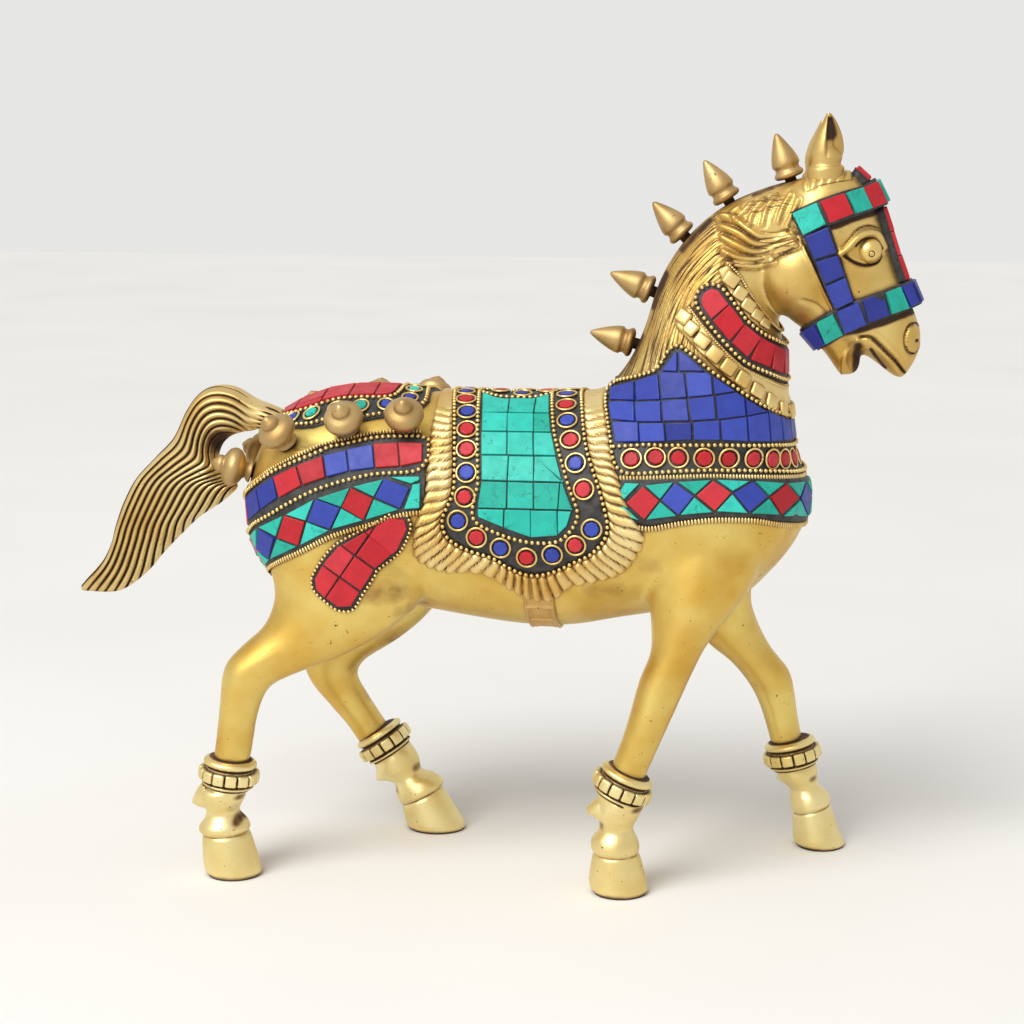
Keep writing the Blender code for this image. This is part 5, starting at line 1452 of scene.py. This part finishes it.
# left, top, right and bottom corner of each diamond, from the saddle to the middle of the chest
chest_diamonds = [
    ((81.2, 140.1), (75.4, 146.2), (69.5, 141.3), (74.7, 134.4)),
    ((69.5, 141.3), (64.5, 147.6), (57.8, 142.9), (63.2, 136.2)),
    ((57.8, 142.9), (51.4, 148.1), (45.0, 143.7), (51.2, 137.5)),
    ((45.0, 143.7), (37.2, 147.2), (31.8, 141.7), (39.6, 136.7)),
    ((31.8, 141.7), (22.4, 145.4), (16.5, 139.7), (27.2, 135.1)),
    ((16.5, 139.7), (8.0, 144.3), (0, 138.6), (7.8, 132.2)),
]
TWIST = {"pitch": 1.0, "radius": 0.62, "lift": 0.9}
RIBS = {"pitch": 1.15, "radius": 0.56, "lift": 0.7, "tall": 1.9}


def between_diamonds(diamonds):
    """The triangles that fill a band above and below its diamonds."""
    made = []
    for first, second in zip(diamonds, diamonds[1:]):
        made.append([first[1], second[1], first[2]])
        made.append([first[3], first[2], second[3]])
    return made


chest_nodes = ["chest_lapis_panel", "chest_ring_band", "chest_diamond_band"]
bed = lac_bed(on_chest, both_sides(chest_bed))
metal_piece("chest_lac_bed", bed, lac, "black_lac", *chest_nodes)
beads, twists, rings, red_stones = bmesh.new(), bmesh.new(), bmesh.new(), bmesh.new()
red, blue, green = [], [], []
end_tiles = tiles(
    [(81.8, 141.0), (76.2, 146.8), (81.8, 147.0), (83.8, 143.2)],
    [(81.8, 139.4), (83.6, 138.8), (80.0, 135.3), (75.6, 134.0)],
)
middle_tiles = [[(8.0, 144.3), (0, 143.6), (0, 138.6)], [(7.8, 132.2), (0, 138.6), (0, 131.8)]]
# Chips of the near half: list, flat shape, joint in mm and seed
chest_chips = [
    (blue, sliced(lapis_outline, lapis_cuts), 0.5, 5),
    (red, tiles(*chest_diamonds[::2]), 0.5, 6),
    (blue, tiles(*chest_diamonds[1::2]), 0.5, 7),
    (green, tiles(*between_diamonds(chest_diamonds), *middle_tiles), 0.6, 8),
    (green, end_tiles, 0.5, 9),
]
for flipped in (False, True):
    for colour, flat, joint, seed in chest_chips:
        colour.append(chip_set(on_chest, flat, joint, mirrored=flipped, seed=seed))
    for path in chest_bead_lines:
        bead_row(beads, on_chest, path, flipped)
    for path in chest_ribbed_lines:
        bead_row(twists, on_chest, path, flipped, **RIBS)
    for number, (u, v) in enumerate(chest_rings):
        ring_setting(rings, red_stones, on_chest, u, v, 200 + number, RING, mirrored=flipped)
ring_setting(rings, red_stones, on_chest, 0, 152.1, 220, RING)
stone_piece("chest_lapis_chips", joined(blue), lapis, "chest_lapis_panel")
stone_piece("chest_coral_chips", joined([*red, red_stones]), coral, "chest_diamond_band")
stone_piece("chest_turquoise_chips", joined(green), turquoise, "chest_diamond_band")
metal_piece("chest_beads", beads, bright_wire, "bright_brass", "chest_ring_band")
metal_piece("chest_twisted_wires", twists, chased_brass, "bright_brass", "chest_diamond_band")
metal_piece("chest_rings", rings, bright_wire, "bright_brass", "chest_ring_band")

# Neck collar
# A band of coral pressed into lac between beads, with a cast strip of square bosses along its
# upper and lower edge. It is soldered round the neck and closes under the throat.
on_neck = wrap((90, 0, 202), (0.8, 0, -0.6), (0.6, 0, 0.8), 22, 20)
collar_coral = [
    (0, 0.0), (14.2, -0.1), (21.7, -0.5), (29.7, 0.1), (36, 2.0), (41, 3.5), (43.6, 4.2), (45.4, 3.2),
    (46.2, 0.6), (45.6, -2.0), (43.8, -3.6), (39.2, -5.2), (30.5, -7.5), (23, -8.5), (13.5, -7.2),
    (0, -6.8),
]
collar_cuts = [
    ((37.2, 9), (39.4, -9)), ((29.0, 9), (30.8, -12)), ((21.0, 9), (23.2, -12)), ((15.0, 9), (13.9, -12)),
    ((7.2, 9), (6.8, -12)),
]
collar_bed = [
    (0, 1.9), (14.2, 1.8), (21.7, 1.5), (29.7, 2.1), (36, 4.0), (41, 5.7), (44.4, 6.1), (47.2, 4.4),
    (48.2, 0.8), (47.4, -3.0), (45.0, -5.4), (39.7, -7.3), (30.5, -9.6), (23.2, -10.7), (13.5, -9.4),
    (0, -8.8),
]
collar_bead_loop = [
    (0, 1.1), (14.2, 1.0), (21.7, 0.7), (29.7, 1.3), (36, 3.2), (41, 4.9), (44.0, 5.3), (46.4, 4.0),
    (47.4, 0.7), (46.7, -2.6), (44.5, -4.6), (39.7, -6.5), (30.5, -8.8), (23.2, -9.9), (13.5, -8.6),
    (0, -8.0),
]
upper_strip = [
    (20, 1.6), (29.7, 2.3), (36, 4.2), (40, 5.8), (43.4, 6.9), (47.6, 9.4), (46.4, 13.6), (42, 12.4),
    (36, 9.6), (28, 7.2), (20, 5.6),
]
lower_strip = [
    (0, -9.4), (13.5, -10.0), (23.2, -11.3), (30.5, -10.2), (39.7, -8.0), (46.6, -6.0), (48.6, -10.2),
    (46.4, -14.2), (38, -15.3), (26.4, -16.8), (12, -18.6), (0, -19.4),
]
upper_bosses = [(43.0, 9.5), (38.0, 7.5), (33.0, 5.7), (27.9, 4.6), (22.9, 3.7)]
lower_bosses = [
    (45.6, -10.2), (41.6, -11.6), (36.8, -12.6), (31.7, -13.5), (26.7, -14.2), (21.9, -14.8),
    (17.0, -15.3), (12.1, -15.9), (7.3, -16.4), (2.4, -16.6),
]
upper_twist = [(46.8, 13.2), (42, 12.2), (36, 9.6), (28, 7.2), (20, 5.4), (10, 4.4), (0, 4.2)]
lower_twist = [(46.2, -6.6), (39.7, -8.6), (30.5, -10.7), (23.2, -11.8), (13.5, -10.7), (0, -10.2)]
BOSS_BEVEL = 0.85
BOSS_TAPER = 0.9
BOSS_SEAT = 0.2  # mm between the casting and a boss's lower face


def boss(bm, at, u, v, wide, tall, height, seed, mirrored):
    """A cast block with soft corners and a slightly crowned top."""
    luck = random.Random(seed)
    block = bmesh.new()
    made = bmesh.ops.create_cube(block, size=1)["verts"]
    size = (wide * luck.uniform(0.9, 1.05), tall * luck.uniform(0.92, 1.05), height)
    bmesh.ops.scale(block, vec=size, verts=made)
    top = [vert for vert in made if vert.co.z > 0]
    bmesh.ops.scale(block, vec=(BOSS_TAPER, BOSS_TAPER, 1), verts=top)
    bmesh.ops.bevel(
        block, geom=block.edges, offset=BOSS_BEVEL, offset_type="OFFSET", segments=3, profile=0.5,
        affect="EDGES", material=-1,
    )
    place, normal = at(u, v, height / 2 + BOSS_SEAT, mirrored)
    step = at(u + 0.5, v, height / 2 + BOSS_SEAT, mirrored)[0] - place
    step = (step - normal * step.dot(normal)).normalized()
    turn = Matrix((step, normal.cross(step), normal)).transposed().to_4x4()
    seat = Matrix.Translation(place) @ turn @ Matrix.Diagonal((MM, MM, MM, 1))
    bmesh.ops.transform(block, matrix=seat, verts=block.verts)
    absorb(bm, block)


bed = lac_bed(on_neck, both_sides(collar_bed))
metal_piece("collar_lac_bed", bed, lac, "black_lac", "collar_coral_band")
red, strips = [], [lac_bed(on_neck, both_sides(lower_strip), 1.2)]
beads, upper, lower = bmesh.new(), bmesh.new(), bmesh.new()
for flipped in (False, True):
    flat = sliced(collar_coral, collar_cuts)
    red.append(chip_set(on_neck, flat, joint=0.45, mirrored=flipped, seed=12))
    bead_row(beads, on_neck, collar_bead_loop, flipped)
    strips.append(lac_bed(on_neck, upper_strip, 1.1, flipped))
    bead_row(upper, on_neck, upper_twist, flipped, **TWIST)
    bead_row(lower, on_neck, lower_twist, flipped, **TWIST)
    # Towards the throat the upper row's bosses get shorter, and the lower row's a little taller
    for number, (u, v) in enumerate(upper_bosses):
        boss(upper, on_neck, u, v, 5.5, 5.1 - 0.3 * number, 2.3, number, flipped)
    for number, (u, v) in enumerate(lower_bosses):
        boss(lower, on_neck, u, v, 5.6, 5.1 + 0.08 * number, 2.4, 20 + number, flipped)
stone_piece("collar_coral_chips", joined(red), coral, "collar_coral_band")
metal_piece("collar_beads", beads, bright_wire, "bright_brass", "collar_coral_band")
boss_rows = ("collar_upper_bosses", "collar_lower_bosses")
metal_piece("collar_strips", joined(strips), chased_brass, "brass", *boss_rows)
metal_piece("collar_upper_boss_row", upper, chased_brass, "bright_brass", "collar_upper_bosses")
metal_piece("collar_lower_boss_row", lower, chased_brass, "bright_brass", "collar_lower_bosses")

# Bridle
# Thick coloured tiles stand in lac on a browband, two cheekpieces, a noseband and a strap down
# the face. The two bands rise over the face strap, and the noseband closes under the jaw.
head_form = bmesh.new()
loft(head_form, skull, 36)
loft(head_form, jaw, 24)
head_form = blended(head_form, BODY_VOXEL, SMOOTHING_PASSES)
on_head = wrap(
    (122, 0, 222), (0.944, 0, 0.33), (0.33, 0, -0.944), 21, 18, 2.5, BVHTree.FromBMesh(head_form)
)
head_form.free()
# How high the bands rise over the face strap, and how far out from it that reaches, in mm
BROW_HUMP = (3.0, 9.0)
NOSE_HUMP = (2.5, 9.0)
brow_green = tiles(
    [(39.3, -19.4), (30.1, -20.5), (29.3, -12.5), (37.8, -11.1)],
    [(20.3, -20.3), (11.4, -19.8), (10.6, -12.0), (19.5, -12.5)],
    [(3.4, -19.4), (-3.4, -19.4), (-3.3, -11.9), (3.3, -11.9)],
)
brow_red = tiles(
    [(29.8, -20.4), (20.7, -20.4), (19.9, -12.6), (29.0, -12.4)],
    [(11.0, -19.7), (3.7, -19.4), (3.6, -11.9), (10.3, -12.0)],
)
cheek_blue = tiles(
    [(37.6, -11.0), (29.3, -11.9), (29.3, -2.3), (37.1, -2.5)],
    [(37.1, -2.1), (29.3, -1.9), (29.1, 5.6), (36.6, 6.4)],
    [(36.8, 6.8), (29.1, 6.0), (29.1, 14.9), (36.1, 15.6)],
)
nose_blue = tiles(
    [(55.0, 19.4), (46.0, 18.1), (46.3, 26.6), (54.0, 27.2)],
    [(35.8, 16.1), (27.1, 15.7), (26.8, 24.0), (35.6, 24.8)],
    [(26.5, 15.8), (22.3, 15.3), (17.1, 18.3), (17.0, 23.9), (26.4, 23.9)],
    [(8.1, 16.2), (4.1, 16.2), (4.0, 24.4), (7.5, 24.5)],
    [(3.9, 16.2), (0, 16.2), (0, 24.4), (3.8, 24.4)],
    [(63.5, 20.2), (55.4, 19.5), (54.4, 27.3), (62.5, 28.0)],
)
nose_green = tiles(
    [(45.5, 17.9), (36.6, 16.5), (36.0, 24.9), (45.8, 26.4)],
    [(15.9, 16.0), (8.4, 16.2), (7.8, 24.6), (16.4, 24.0)],
)
brow_bed = [
    (0, -20.0), (11, -20.3), (20.5, -20.9), (30.1, -21.0), (40.0, -19.8), (38.4, -10.6), (29, -11.9),
    (10, -11.5), (0, -11.4),
]
nose_bed = [
    (0, 15.7), (15.9, 15.5), (27, 15.2), (36.6, 15.9), (46, 17.6), (55, 18.8), (64, 19.8), (63, 28.6),
    (54, 27.8), (46, 27.2), (36, 25.4), (27, 24.5), (16.6, 24.5), (0, 24.9),
]
cheek_bed = [(38.0, -11.4), (28.9, -12.0), (28.7, 15.6), (36.5, 16.2)]
face_spans = [(-25.4, -20.2), (-11.2, 15.4)]  # above the browband, and from there to the noseband
face_cuts = [((-9, v), (9, v)) for v in (-2.4, 6.4)]
FACE_HALF = 4.4
FACE_MARGIN = 0.2


def on_both_cheeks(flat, seed, hump=(0, 1), low=1.0, high=2.6):
    """The same bridle tiles on the near and the far side of the head."""
    return [chip_set(on_head, flat, 0.35, low, high, far, seed, hump) for far in (False, True)]


straps = [
    lac_bed(on_head, both_sides(brow_bed), 1.3, hump=BROW_HUMP),
    lac_bed(on_head, both_sides(nose_bed), 1.3, hump=NOSE_HUMP),
]
red = on_both_cheeks(brow_red, 31, BROW_HUMP)
for low, high in face_spans:
    half = FACE_HALF
    straps.append(lac_bed(on_head, [(-half, low), (half, low), (half, high), (-half, high)], 2.6))
    half, low, high = half - FACE_MARGIN, low + FACE_MARGIN, high - FACE_MARGIN
    strip = sliced([(-half, low), (half, low), (half, high), (-half, high)], face_cuts)
    red.append(chip_set(on_head, strip, 0.3, 2.4, 3.9, seed=33))
straps += [lac_bed(on_head, cheek_bed, 1.2, far) for far in (False, True)]
green = [*on_both_cheeks(brow_green, 34, BROW_HUMP), *on_both_cheeks(nose_green, 34, NOSE_HUMP)]
blue = on_both_cheeks(nose_blue, 36, NOSE_HUMP, high=2.5)
blue += on_both_cheeks(cheek_blue, 37, low=0.9, high=2.5)
# The bridle's lapis is dyed deeper than the chest's
deep_lapis = chip_stone("deep_dyed_lapis", ("#3644A2", "#2C3790", "#222B74"), "#6A78C8")
browbands = ["near_browband", "far_browband"]
cheekpieces = ["near_cheekpiece", "far_cheekpiece"]
metal_piece("bridle_lac", joined(straps), lac, "black_lac", "noseband", "face_strap", *browbands)
stone_piece("bridle_coral_chips", joined(red), coral, "face_strap", *browbands)
stone_piece("bridle_turquoise_chips", joined(green), turquoise, *browbands, "noseband")
stone_piece("bridle_lapis_chips", joined(blue), deep_lapis, "noseband", *cheekpieces)

# Crupper cloth
# A coral strip lies along the spine, with turquoise and lapis in oval rings round it. A band of
# coral and lapis tiles and one of diamonds hang from it round the haunches and below the tail.
spine_bed = [
    (0, -19.6), (12.8, -18.2), (17.8, -20.2), (21.6, -26.4), (23.4, -32.0), (24.9, -37.2),
    (26.2, -42), (26.4, -53.7), (27.4, -57.3), (26.8, -62), (24.6, -68.4), (16, -73.6), (0, -75.4),
]
spine_coral = [
    (0, -31.0), (8.4, -31.2), (11.2, -32.0), (12.4, -34.4), (13.0, -37.8), (13.0, -46.8),
    (13.4, -52.0), (14.6, -56.0), (15.6, -60.0), (15.4, -66.0), (11.4, -71.2), (0, -73.0),
]
spine_cuts = [
    ((-2, -38.2), (30, -37.6)), ((-2, -47.2), (30, -46.8)), ((-2, -56.8), (30, -56.2)),
    ((-2, -66.0), (30, -66.4)), ((11.6, -56.5), (12.0, -66.2)),
]
spine_beads = [
    [
        (0, -29.4), (7, -29.6), (11.4, -30.6), (13.6, -33.4), (14.4, -37.8), (14.5, -46.8),
        (14.9, -52), (16.1, -56), (17.1, -60), (16.9, -66), (13.6, -71.6),
    ],
    [
        (0, -20.8), (12.6, -19.4), (16.8, -21.2), (20.5, -27), (22.3, -32.3), (23.8, -37.4),
        (25.0, -42), (25.2, -53.7), (26.1, -57.3), (25.6, -62), (23.4, -67.8), (16, -72.6),
    ],
]
# u, v and stone of each oval ring
spine_rings = [
    (4.6, -25.2, "g"), (12.6, -25.2, "b"), (18.0, -32.8, "b"), (19.4, -41.4, "g"),
    (19.9, -50.2, "b"), (20.8, -58.8, "g"), (20.6, -66.4, "b"),
]
on_rump = wrap((-30, 0, 0), (-1, 0, 0), (0, 0, 1), 56, 38, 3)
# Joints of the upper band, upper and lower end, from the saddle to the middle below the tail
band_joints = [
    ((92.6, 157.8), (93.2, 151.6)), ((83.6, 158.0), (85.1, 149.9)), ((74.9, 157.5), (76.6, 149.4)),
    ((65.6, 155.6), (67.4, 148.2)), ((57.4, 153.7), (59.4, 146.2)), ((48.4, 150.2), (51.4, 143.4)),
    ((39.6, 145.6), (42.9, 138.5)), ((31.4, 140.8), (35.4, 133.5)), ((22.6, 136.4), (25.6, 128.4)),
    ((12.0, 132.4), (13.4, 124.4)), ((0, 130.2), (0, 122.4)),
]
band_stones = "rrbbrrbbrr"
band_top_beads = [
    (94.6, 158.6), (91, 159.6), (83.6, 159.6), (74.9, 159.1), (65.4, 157.2), (57.4, 155.2),
    (48.4, 151.7), (38.9, 147.0), (30.6, 142.1), (22, 137.9), (12, 134.0), (0, 131.8),
]
band_low_beads = [
    (94.6, 157.0), (95.0, 153.6), (92.6, 150.0), (88.9, 148.6), (77.6, 147.9), (71.4, 146.8),
    (62.6, 144.5), (55.1, 141.8), (46.1, 136.9), (38.9, 132.4), (30, 127.8), (20, 123.6),
    (10, 121.2), (0, 120.6),
]
haunch_diamonds = [
    ((76.5, 139.9), (79.9, 146.6), (89.1, 143.6), (85.9, 136.2)),
    ((64.9, 136.3), (68.4, 143.6), (76.5, 139.9), (73.1, 132.0)),
    ((53.1, 131.3), (55.9, 139.4), (64.9, 136.3), (61.4, 128.5)),
    ((42.1, 124.8), (45.1, 133.1), (53.1, 131.3), (50.5, 122.4)),
    ((30.6, 118.9), (33.4, 127.3), (42.1, 124.8), (38.1, 116.4)),
    ((19.2, 114.2), (22.0, 122.4), (30.6, 118.9), (27.2, 110.8)),
    ((8.0, 111.0), (10.6, 119.2), (19.2, 114.2), (15.8, 106.8)),
]
haunch_bed = [
    (0, 132.6), (12, 134.8), (22, 138.8), (30.6, 143.0), (38.9, 148.0), (48.4, 152.6), (57.4, 156.1),
    (65.4, 158.1), (74.9, 160.0), (83.6, 160.5), (91, 160.5), (95.6, 159.0), (96.0, 153.4),
    (93.8, 149.4), (94.2, 145.6), (93.8, 135.8), (86.1, 134.8), (72.6, 130.4), (61.6, 126.8),
    (50, 120.6), (37.6, 114.6), (27, 109.2), (15.8, 105.0), (0, 103.4),
]
drop_outline = [
    (82.1, 133.4), (87.6, 133.0), (88.2, 129.6), (84.4, 121.6), (76.4, 115.0), (75.4, 112.9),
    (71.6, 106.7), (68.4, 101.6), (64.1, 101.4), (59.4, 104.5), (56.4, 107.5), (55.9, 111.3),
    (59.6, 117.8), (63.9, 122.8), (72.9, 128.0),
]
drop_cuts = [
    ((92, 138.5), (83, 129.4)), ((84.8, 135.6), (69.4, 119.2)), ((69.4, 119.2), (57.6, 101.6)),
    ((72.0, 129.0), (84.0, 118.4)), ((64.0, 124.0), (77.0, 114.2)), ((58.6, 116.4), (72.6, 106.4)),
]
drop_bed = [
    (81.6, 134.8), (88.4, 134.4), (89.8, 129.6), (85.8, 120.9), (77.7, 114.0), (76.7, 112.2),
    (72.8, 105.8), (69.2, 100.2), (63.7, 99.9), (58.2, 103.6), (54.9, 107.1), (54.4, 111.7),
    (58.3, 118.6), (63.0, 124.0), (72.3, 129.3),
]
drop_beads = [
    (81.9, 134.3), (72.6, 128.9), (63.4, 123.6), (58.8, 118.3), (54.9, 111.5), (55.4, 107.2),
    (58.7, 103.9), (63.8, 100.3), (68.9, 100.6), (72.4, 106.1), (76.4, 112.4), (77.2, 114.4),
    (85.3, 121.2), (89.3, 129.6), (88.1, 134.0),
]


def round_the_rump(mirrored):
    """Both hanging bands of one side as sets of red, blue and green chips."""
    red_tiles, blue_tiles = [], []
    for stone, (first, second) in zip(band_stones, zip(band_joints, band_joints[1:])):
        (red_tiles if stone == "r" else blue_tiles).append([first[0], first[1], second[1], second[0]])
    for number, corners in enumerate(haunch_diamonds):
        (blue_tiles if number % 2 == 0 else red_tiles).append(corners)
    red_tiles.append([(8.0, 111.0), (0, 118.0), (0, 104.6)])  # half of the one below the tail
    turned_round = [(c[2], c[1], c[0], c[3]) for c in haunch_diamonds]
    fill = between_diamonds(turned_round)
    fill += [
        [(10.6, 119.2), (8.0, 111.0), (0, 118.6)], [(15.8, 106.8), (8.0, 111.0), (0, 104.2)],
        [(89.8, 144.8), (92.9, 145.2), (92.8, 136.6), (86.8, 135.9), (89.6, 143.4)],
        [(80.6, 147.0), (92.4, 147.4), (92.6, 145.8), (89.4, 144.4)],
    ]
    return [
        chip_set(on_rump, tiles(*some), joint=0.5, mirrored=mirrored, seed=40 + number)
        for number, some in enumerate((red_tiles, blue_tiles, fill))
    ]


# A ribbed wire lies just above the upper beads, and another just below the diamonds
band_ribs = [
    [(u, v + 1.7) for u, v in band_top_beads[1:]],
    [(u, v - 0.6) for u, v in haunch_bed[15:]],
]
DROP_BEADS = {"radius": 0.6, "pitch": 1.6, "lift": 1.0}
OVAL_RING = 3.2
OVAL_STRETCH = 1.2
beads, twists, rings = bmesh.new(), bmesh.new(), bmesh.new()
green_stones, blue_stones = bmesh.new(), bmesh.new()
red, blue, green = [], [], []
beds = [lac_bed(on_barrel, both_sides(spine_bed)), lac_bed(on_rump, both_sides(haunch_bed))]
for flipped in (False, True):
    for colour, chips in zip((red, blue, green), round_the_rump(flipped)):
        colour.append(chips)
    strip, drop = sliced(spine_coral, spine_cuts), sliced(drop_outline, drop_cuts)
    red.append(chip_set(on_barrel, strip, joint=0.4, mirrored=flipped, seed=44))
    red.append(chip_set(on_rump, drop, joint=0.5, mirrored=flipped, seed=45))
    beds.append(lac_bed(on_rump, drop_bed, 0.8, flipped))
    for path in spine_beads:
        bead_row(beads, on_barrel, path, flipped)
    for path in (band_top_beads, band_low_beads):
        bead_row(beads, on_rump, path, flipped)
    bead_row(beads, on_rump, drop_beads, flipped, **DROP_BEADS)
    for path in band_ribs:
        bead_row(twists, on_rump, path, flipped, **RIBS)
    for number, (u, v, stone) in enumerate(spine_rings):
        stones = green_stones if stone == "g" else blue_stones
        ring_setting(rings, stones, on_barrel, u, v, 300 + number, OVAL_RING, OVAL_STRETCH, flipped)
strip, border = "rump_coral_strip", "rump_ring_border"
bands = ["rump_coral_lapis_band", "rump_diamond_band"]
drops = ["thigh_drop_near", "thigh_drop_far"]
metal_piece("crupper_lac_beds", joined(beds), lac, "black_lac", strip, border, *bands, *drops)
stone_piece("crupper_coral_chips", joined(red), coral, strip, *bands, *drops)
stone_piece("crupper_lapis_chips", joined([*blue, blue_stones]), lapis, *bands)
stone_piece("crupper_turquoise_chips", joined([*green, green_stones]), turquoise, bands[1], border)
metal_piece("crupper_beads", beads, bright_wire, "bright_brass", border, bands[0])
metal_piece("crupper_twisted_wires", twists, chased_brass, "bright_brass", bands[1])
metal_piece("crupper_rings", rings, bright_wire, "bright_brass", border)

# Girth
# A narrow strap with ribbed edges and a framed buckle, all cast in relief on the belly from one
# lower corner of the saddle to the other.
GIRTH_START, GIRTH_LENGTH = 86, 37.3
GIRTH_MIDDLE = 23.2
GIRTH_HALF = 5.6
GIRTH_RIB_PITCH = 0.9
BUCKLE_PLACE = 98.4
BUCKLE_HALF = 4.6
strap = bmesh.new()
bmesh.ops.create_grid(strap, x_segments=150, y_segments=44, size=0.5)
for vert in strap.verts:
    u = GIRTH_START + (vert.co.x + 0.5) * GIRTH_LENGTH
    across = vert.co.y * 2
    edge = abs(across)
    # A raised rim that turns down at the very edge, and a row of fine ribs inside it
    lift = 0.7 + 0.55 * math.exp(-(((edge - 0.86) / 0.09) ** 2)) - 1.6 * max(0.0, (edge - 0.93) / 0.07)
    ribs = abs(math.sin(math.pi * u / GIRTH_RIB_PITCH))
    lift += 0.25 * ribs * math.exp(-(((edge - 0.62) / 0.08) ** 2))
    # The buckle's frame, with grooves across the plate inside it
    frame_edge = max(abs(u - BUCKLE_PLACE) / BUCKLE_HALF, edge / 0.84)
    lift += 0.8 * math.exp(-(((frame_edge - 0.92) / 0.13) ** 2))
    if frame_edge < 0.75:
        lift += 0.3 * abs(math.sin(math.pi * across * 4))
    vert.co = Vector((u, GIRTH_MIDDLE + across * GIRTH_HALF, lift))
straps = [laid(strap.copy(), on_barrel, False), laid(strap, on_barrel, True)]
# Cast brass, browner and duller than the body's, on the girth under the belly
girth_brass = old_brass(
    "brown_girth_brass", "#DDB978", "#B98E4A", "#33200F", reach=1.0, grime_and_shade=1.2, rough=0.38
)
metal_piece("girth_relief", joined(straps), girth_brass, "brass", "girth_strap")

# Stage
# A pale paper floor under a soft sky, a broad key lamp from the front left and a softbox, seen
# from the photograph's place.
floor_mesh = bmesh.new()
bmesh.ops.create_grid(floor_mesh, x_segments=1, y_segments=1, size=3.0)
mesh = bpy.data.meshes.new("floor")
floor_mesh.to_mesh(mesh)
floor_mesh.free()
floor = bpy.data.objects.new("floor", mesh)
bpy.context.scene.collection.objects.link(floor)
# Matt paper with a faint haze of 250 mm
material, tree, shader, place = new_material("pale_paper")
haze = node(tree, "ShaderNodeTexNoise", {"Vector": place, "Scale": 4.0, "Detail": 2.0})
tone = node(tree, "ShaderNodeValToRGB", {"Fac": haze}, stops=((0.3, "#E9E7E3"), (0.7, "#EEECE8")))
tree.links.new(tone, shader["Base Color"])
shader["Roughness"].default_value = 0.8
mesh.materials.append(material)

# The sky lights the object at 0.55, and where it is seen or mirrored it is 0.25 brighter
world = bpy.data.worlds.new("studio")
bpy.context.scene.world = world
world.use_nodes = True
tree = world.node_tree
rays = node(tree, "ShaderNodeLightPath").node.outputs
mirrored = node(
    tree, "ShaderNodeMath", {0: rays["Is Glossy Ray"], 1: rays["Is Transmission Ray"]},
    operation="MAXIMUM",
)
seen = node(tree, "ShaderNodeMath", {0: rays["Is Camera Ray"], 1: mirrored}, operation="MAXIMUM")
level = node(tree, "ShaderNodeMath", {0: seen, 1: 0.25, 2: 0.55}, operation="MULTIPLY_ADD")
sky = tree.nodes["Background"].inputs
tree.links.new(level, sky["Strength"])
sky["Color"].default_value = (1.0, 0.995, 0.985, 1)

target = Vector((0.0095, 0, 0.1295))
key = bpy.data.lights.new("key", "SUN")
key.energy = 1.8
key.angle = math.radians(35)
softbox = bpy.data.lights.new("softbox", "AREA")
softbox.size = 0.7
softbox.energy = 6
softbox_place = Vector((-0.5, -1.0, 0.9))
for lamp, place, aim in (
    (key, Vector(), Vector((0.45, 0.75, -1.0))),
    (softbox, softbox_place, target - softbox_place),
):
    lamp = bpy.data.objects.new(lamp.name, lamp)
    lamp.location = place
    lamp.rotation_euler = aim.to_track_quat("-Z", "Y").to_euler()
    bpy.context.scene.collection.objects.link(lamp)

CAMERA_SWING = math.radians(8.5)
CAMERA_RISE = math.radians(10)
CAMERA_REACH = 0.9
away = Vector(
    (
        math.sin(CAMERA_SWING) * math.cos(CAMERA_RISE),
        -math.cos(CAMERA_SWING) * math.cos(CAMERA_RISE),
        math.sin(CAMERA_RISE),
    )
)
camera = bpy.data.cameras.new("camera")
camera.lens = 87.89
camera.sensor_width = 36
camera_object = bpy.data.objects.new("camera", camera)
camera_object.location = target + away * CAMERA_REACH
camera_object.rotation_euler = (-away).to_track_quat("-Z", "Y").to_euler()
bpy.context.scene.collection.objects.link(camera_object)
bpy.context.scene.camera = camera_object
bpy.context.scene.view_settings.view_transform = "Standard"
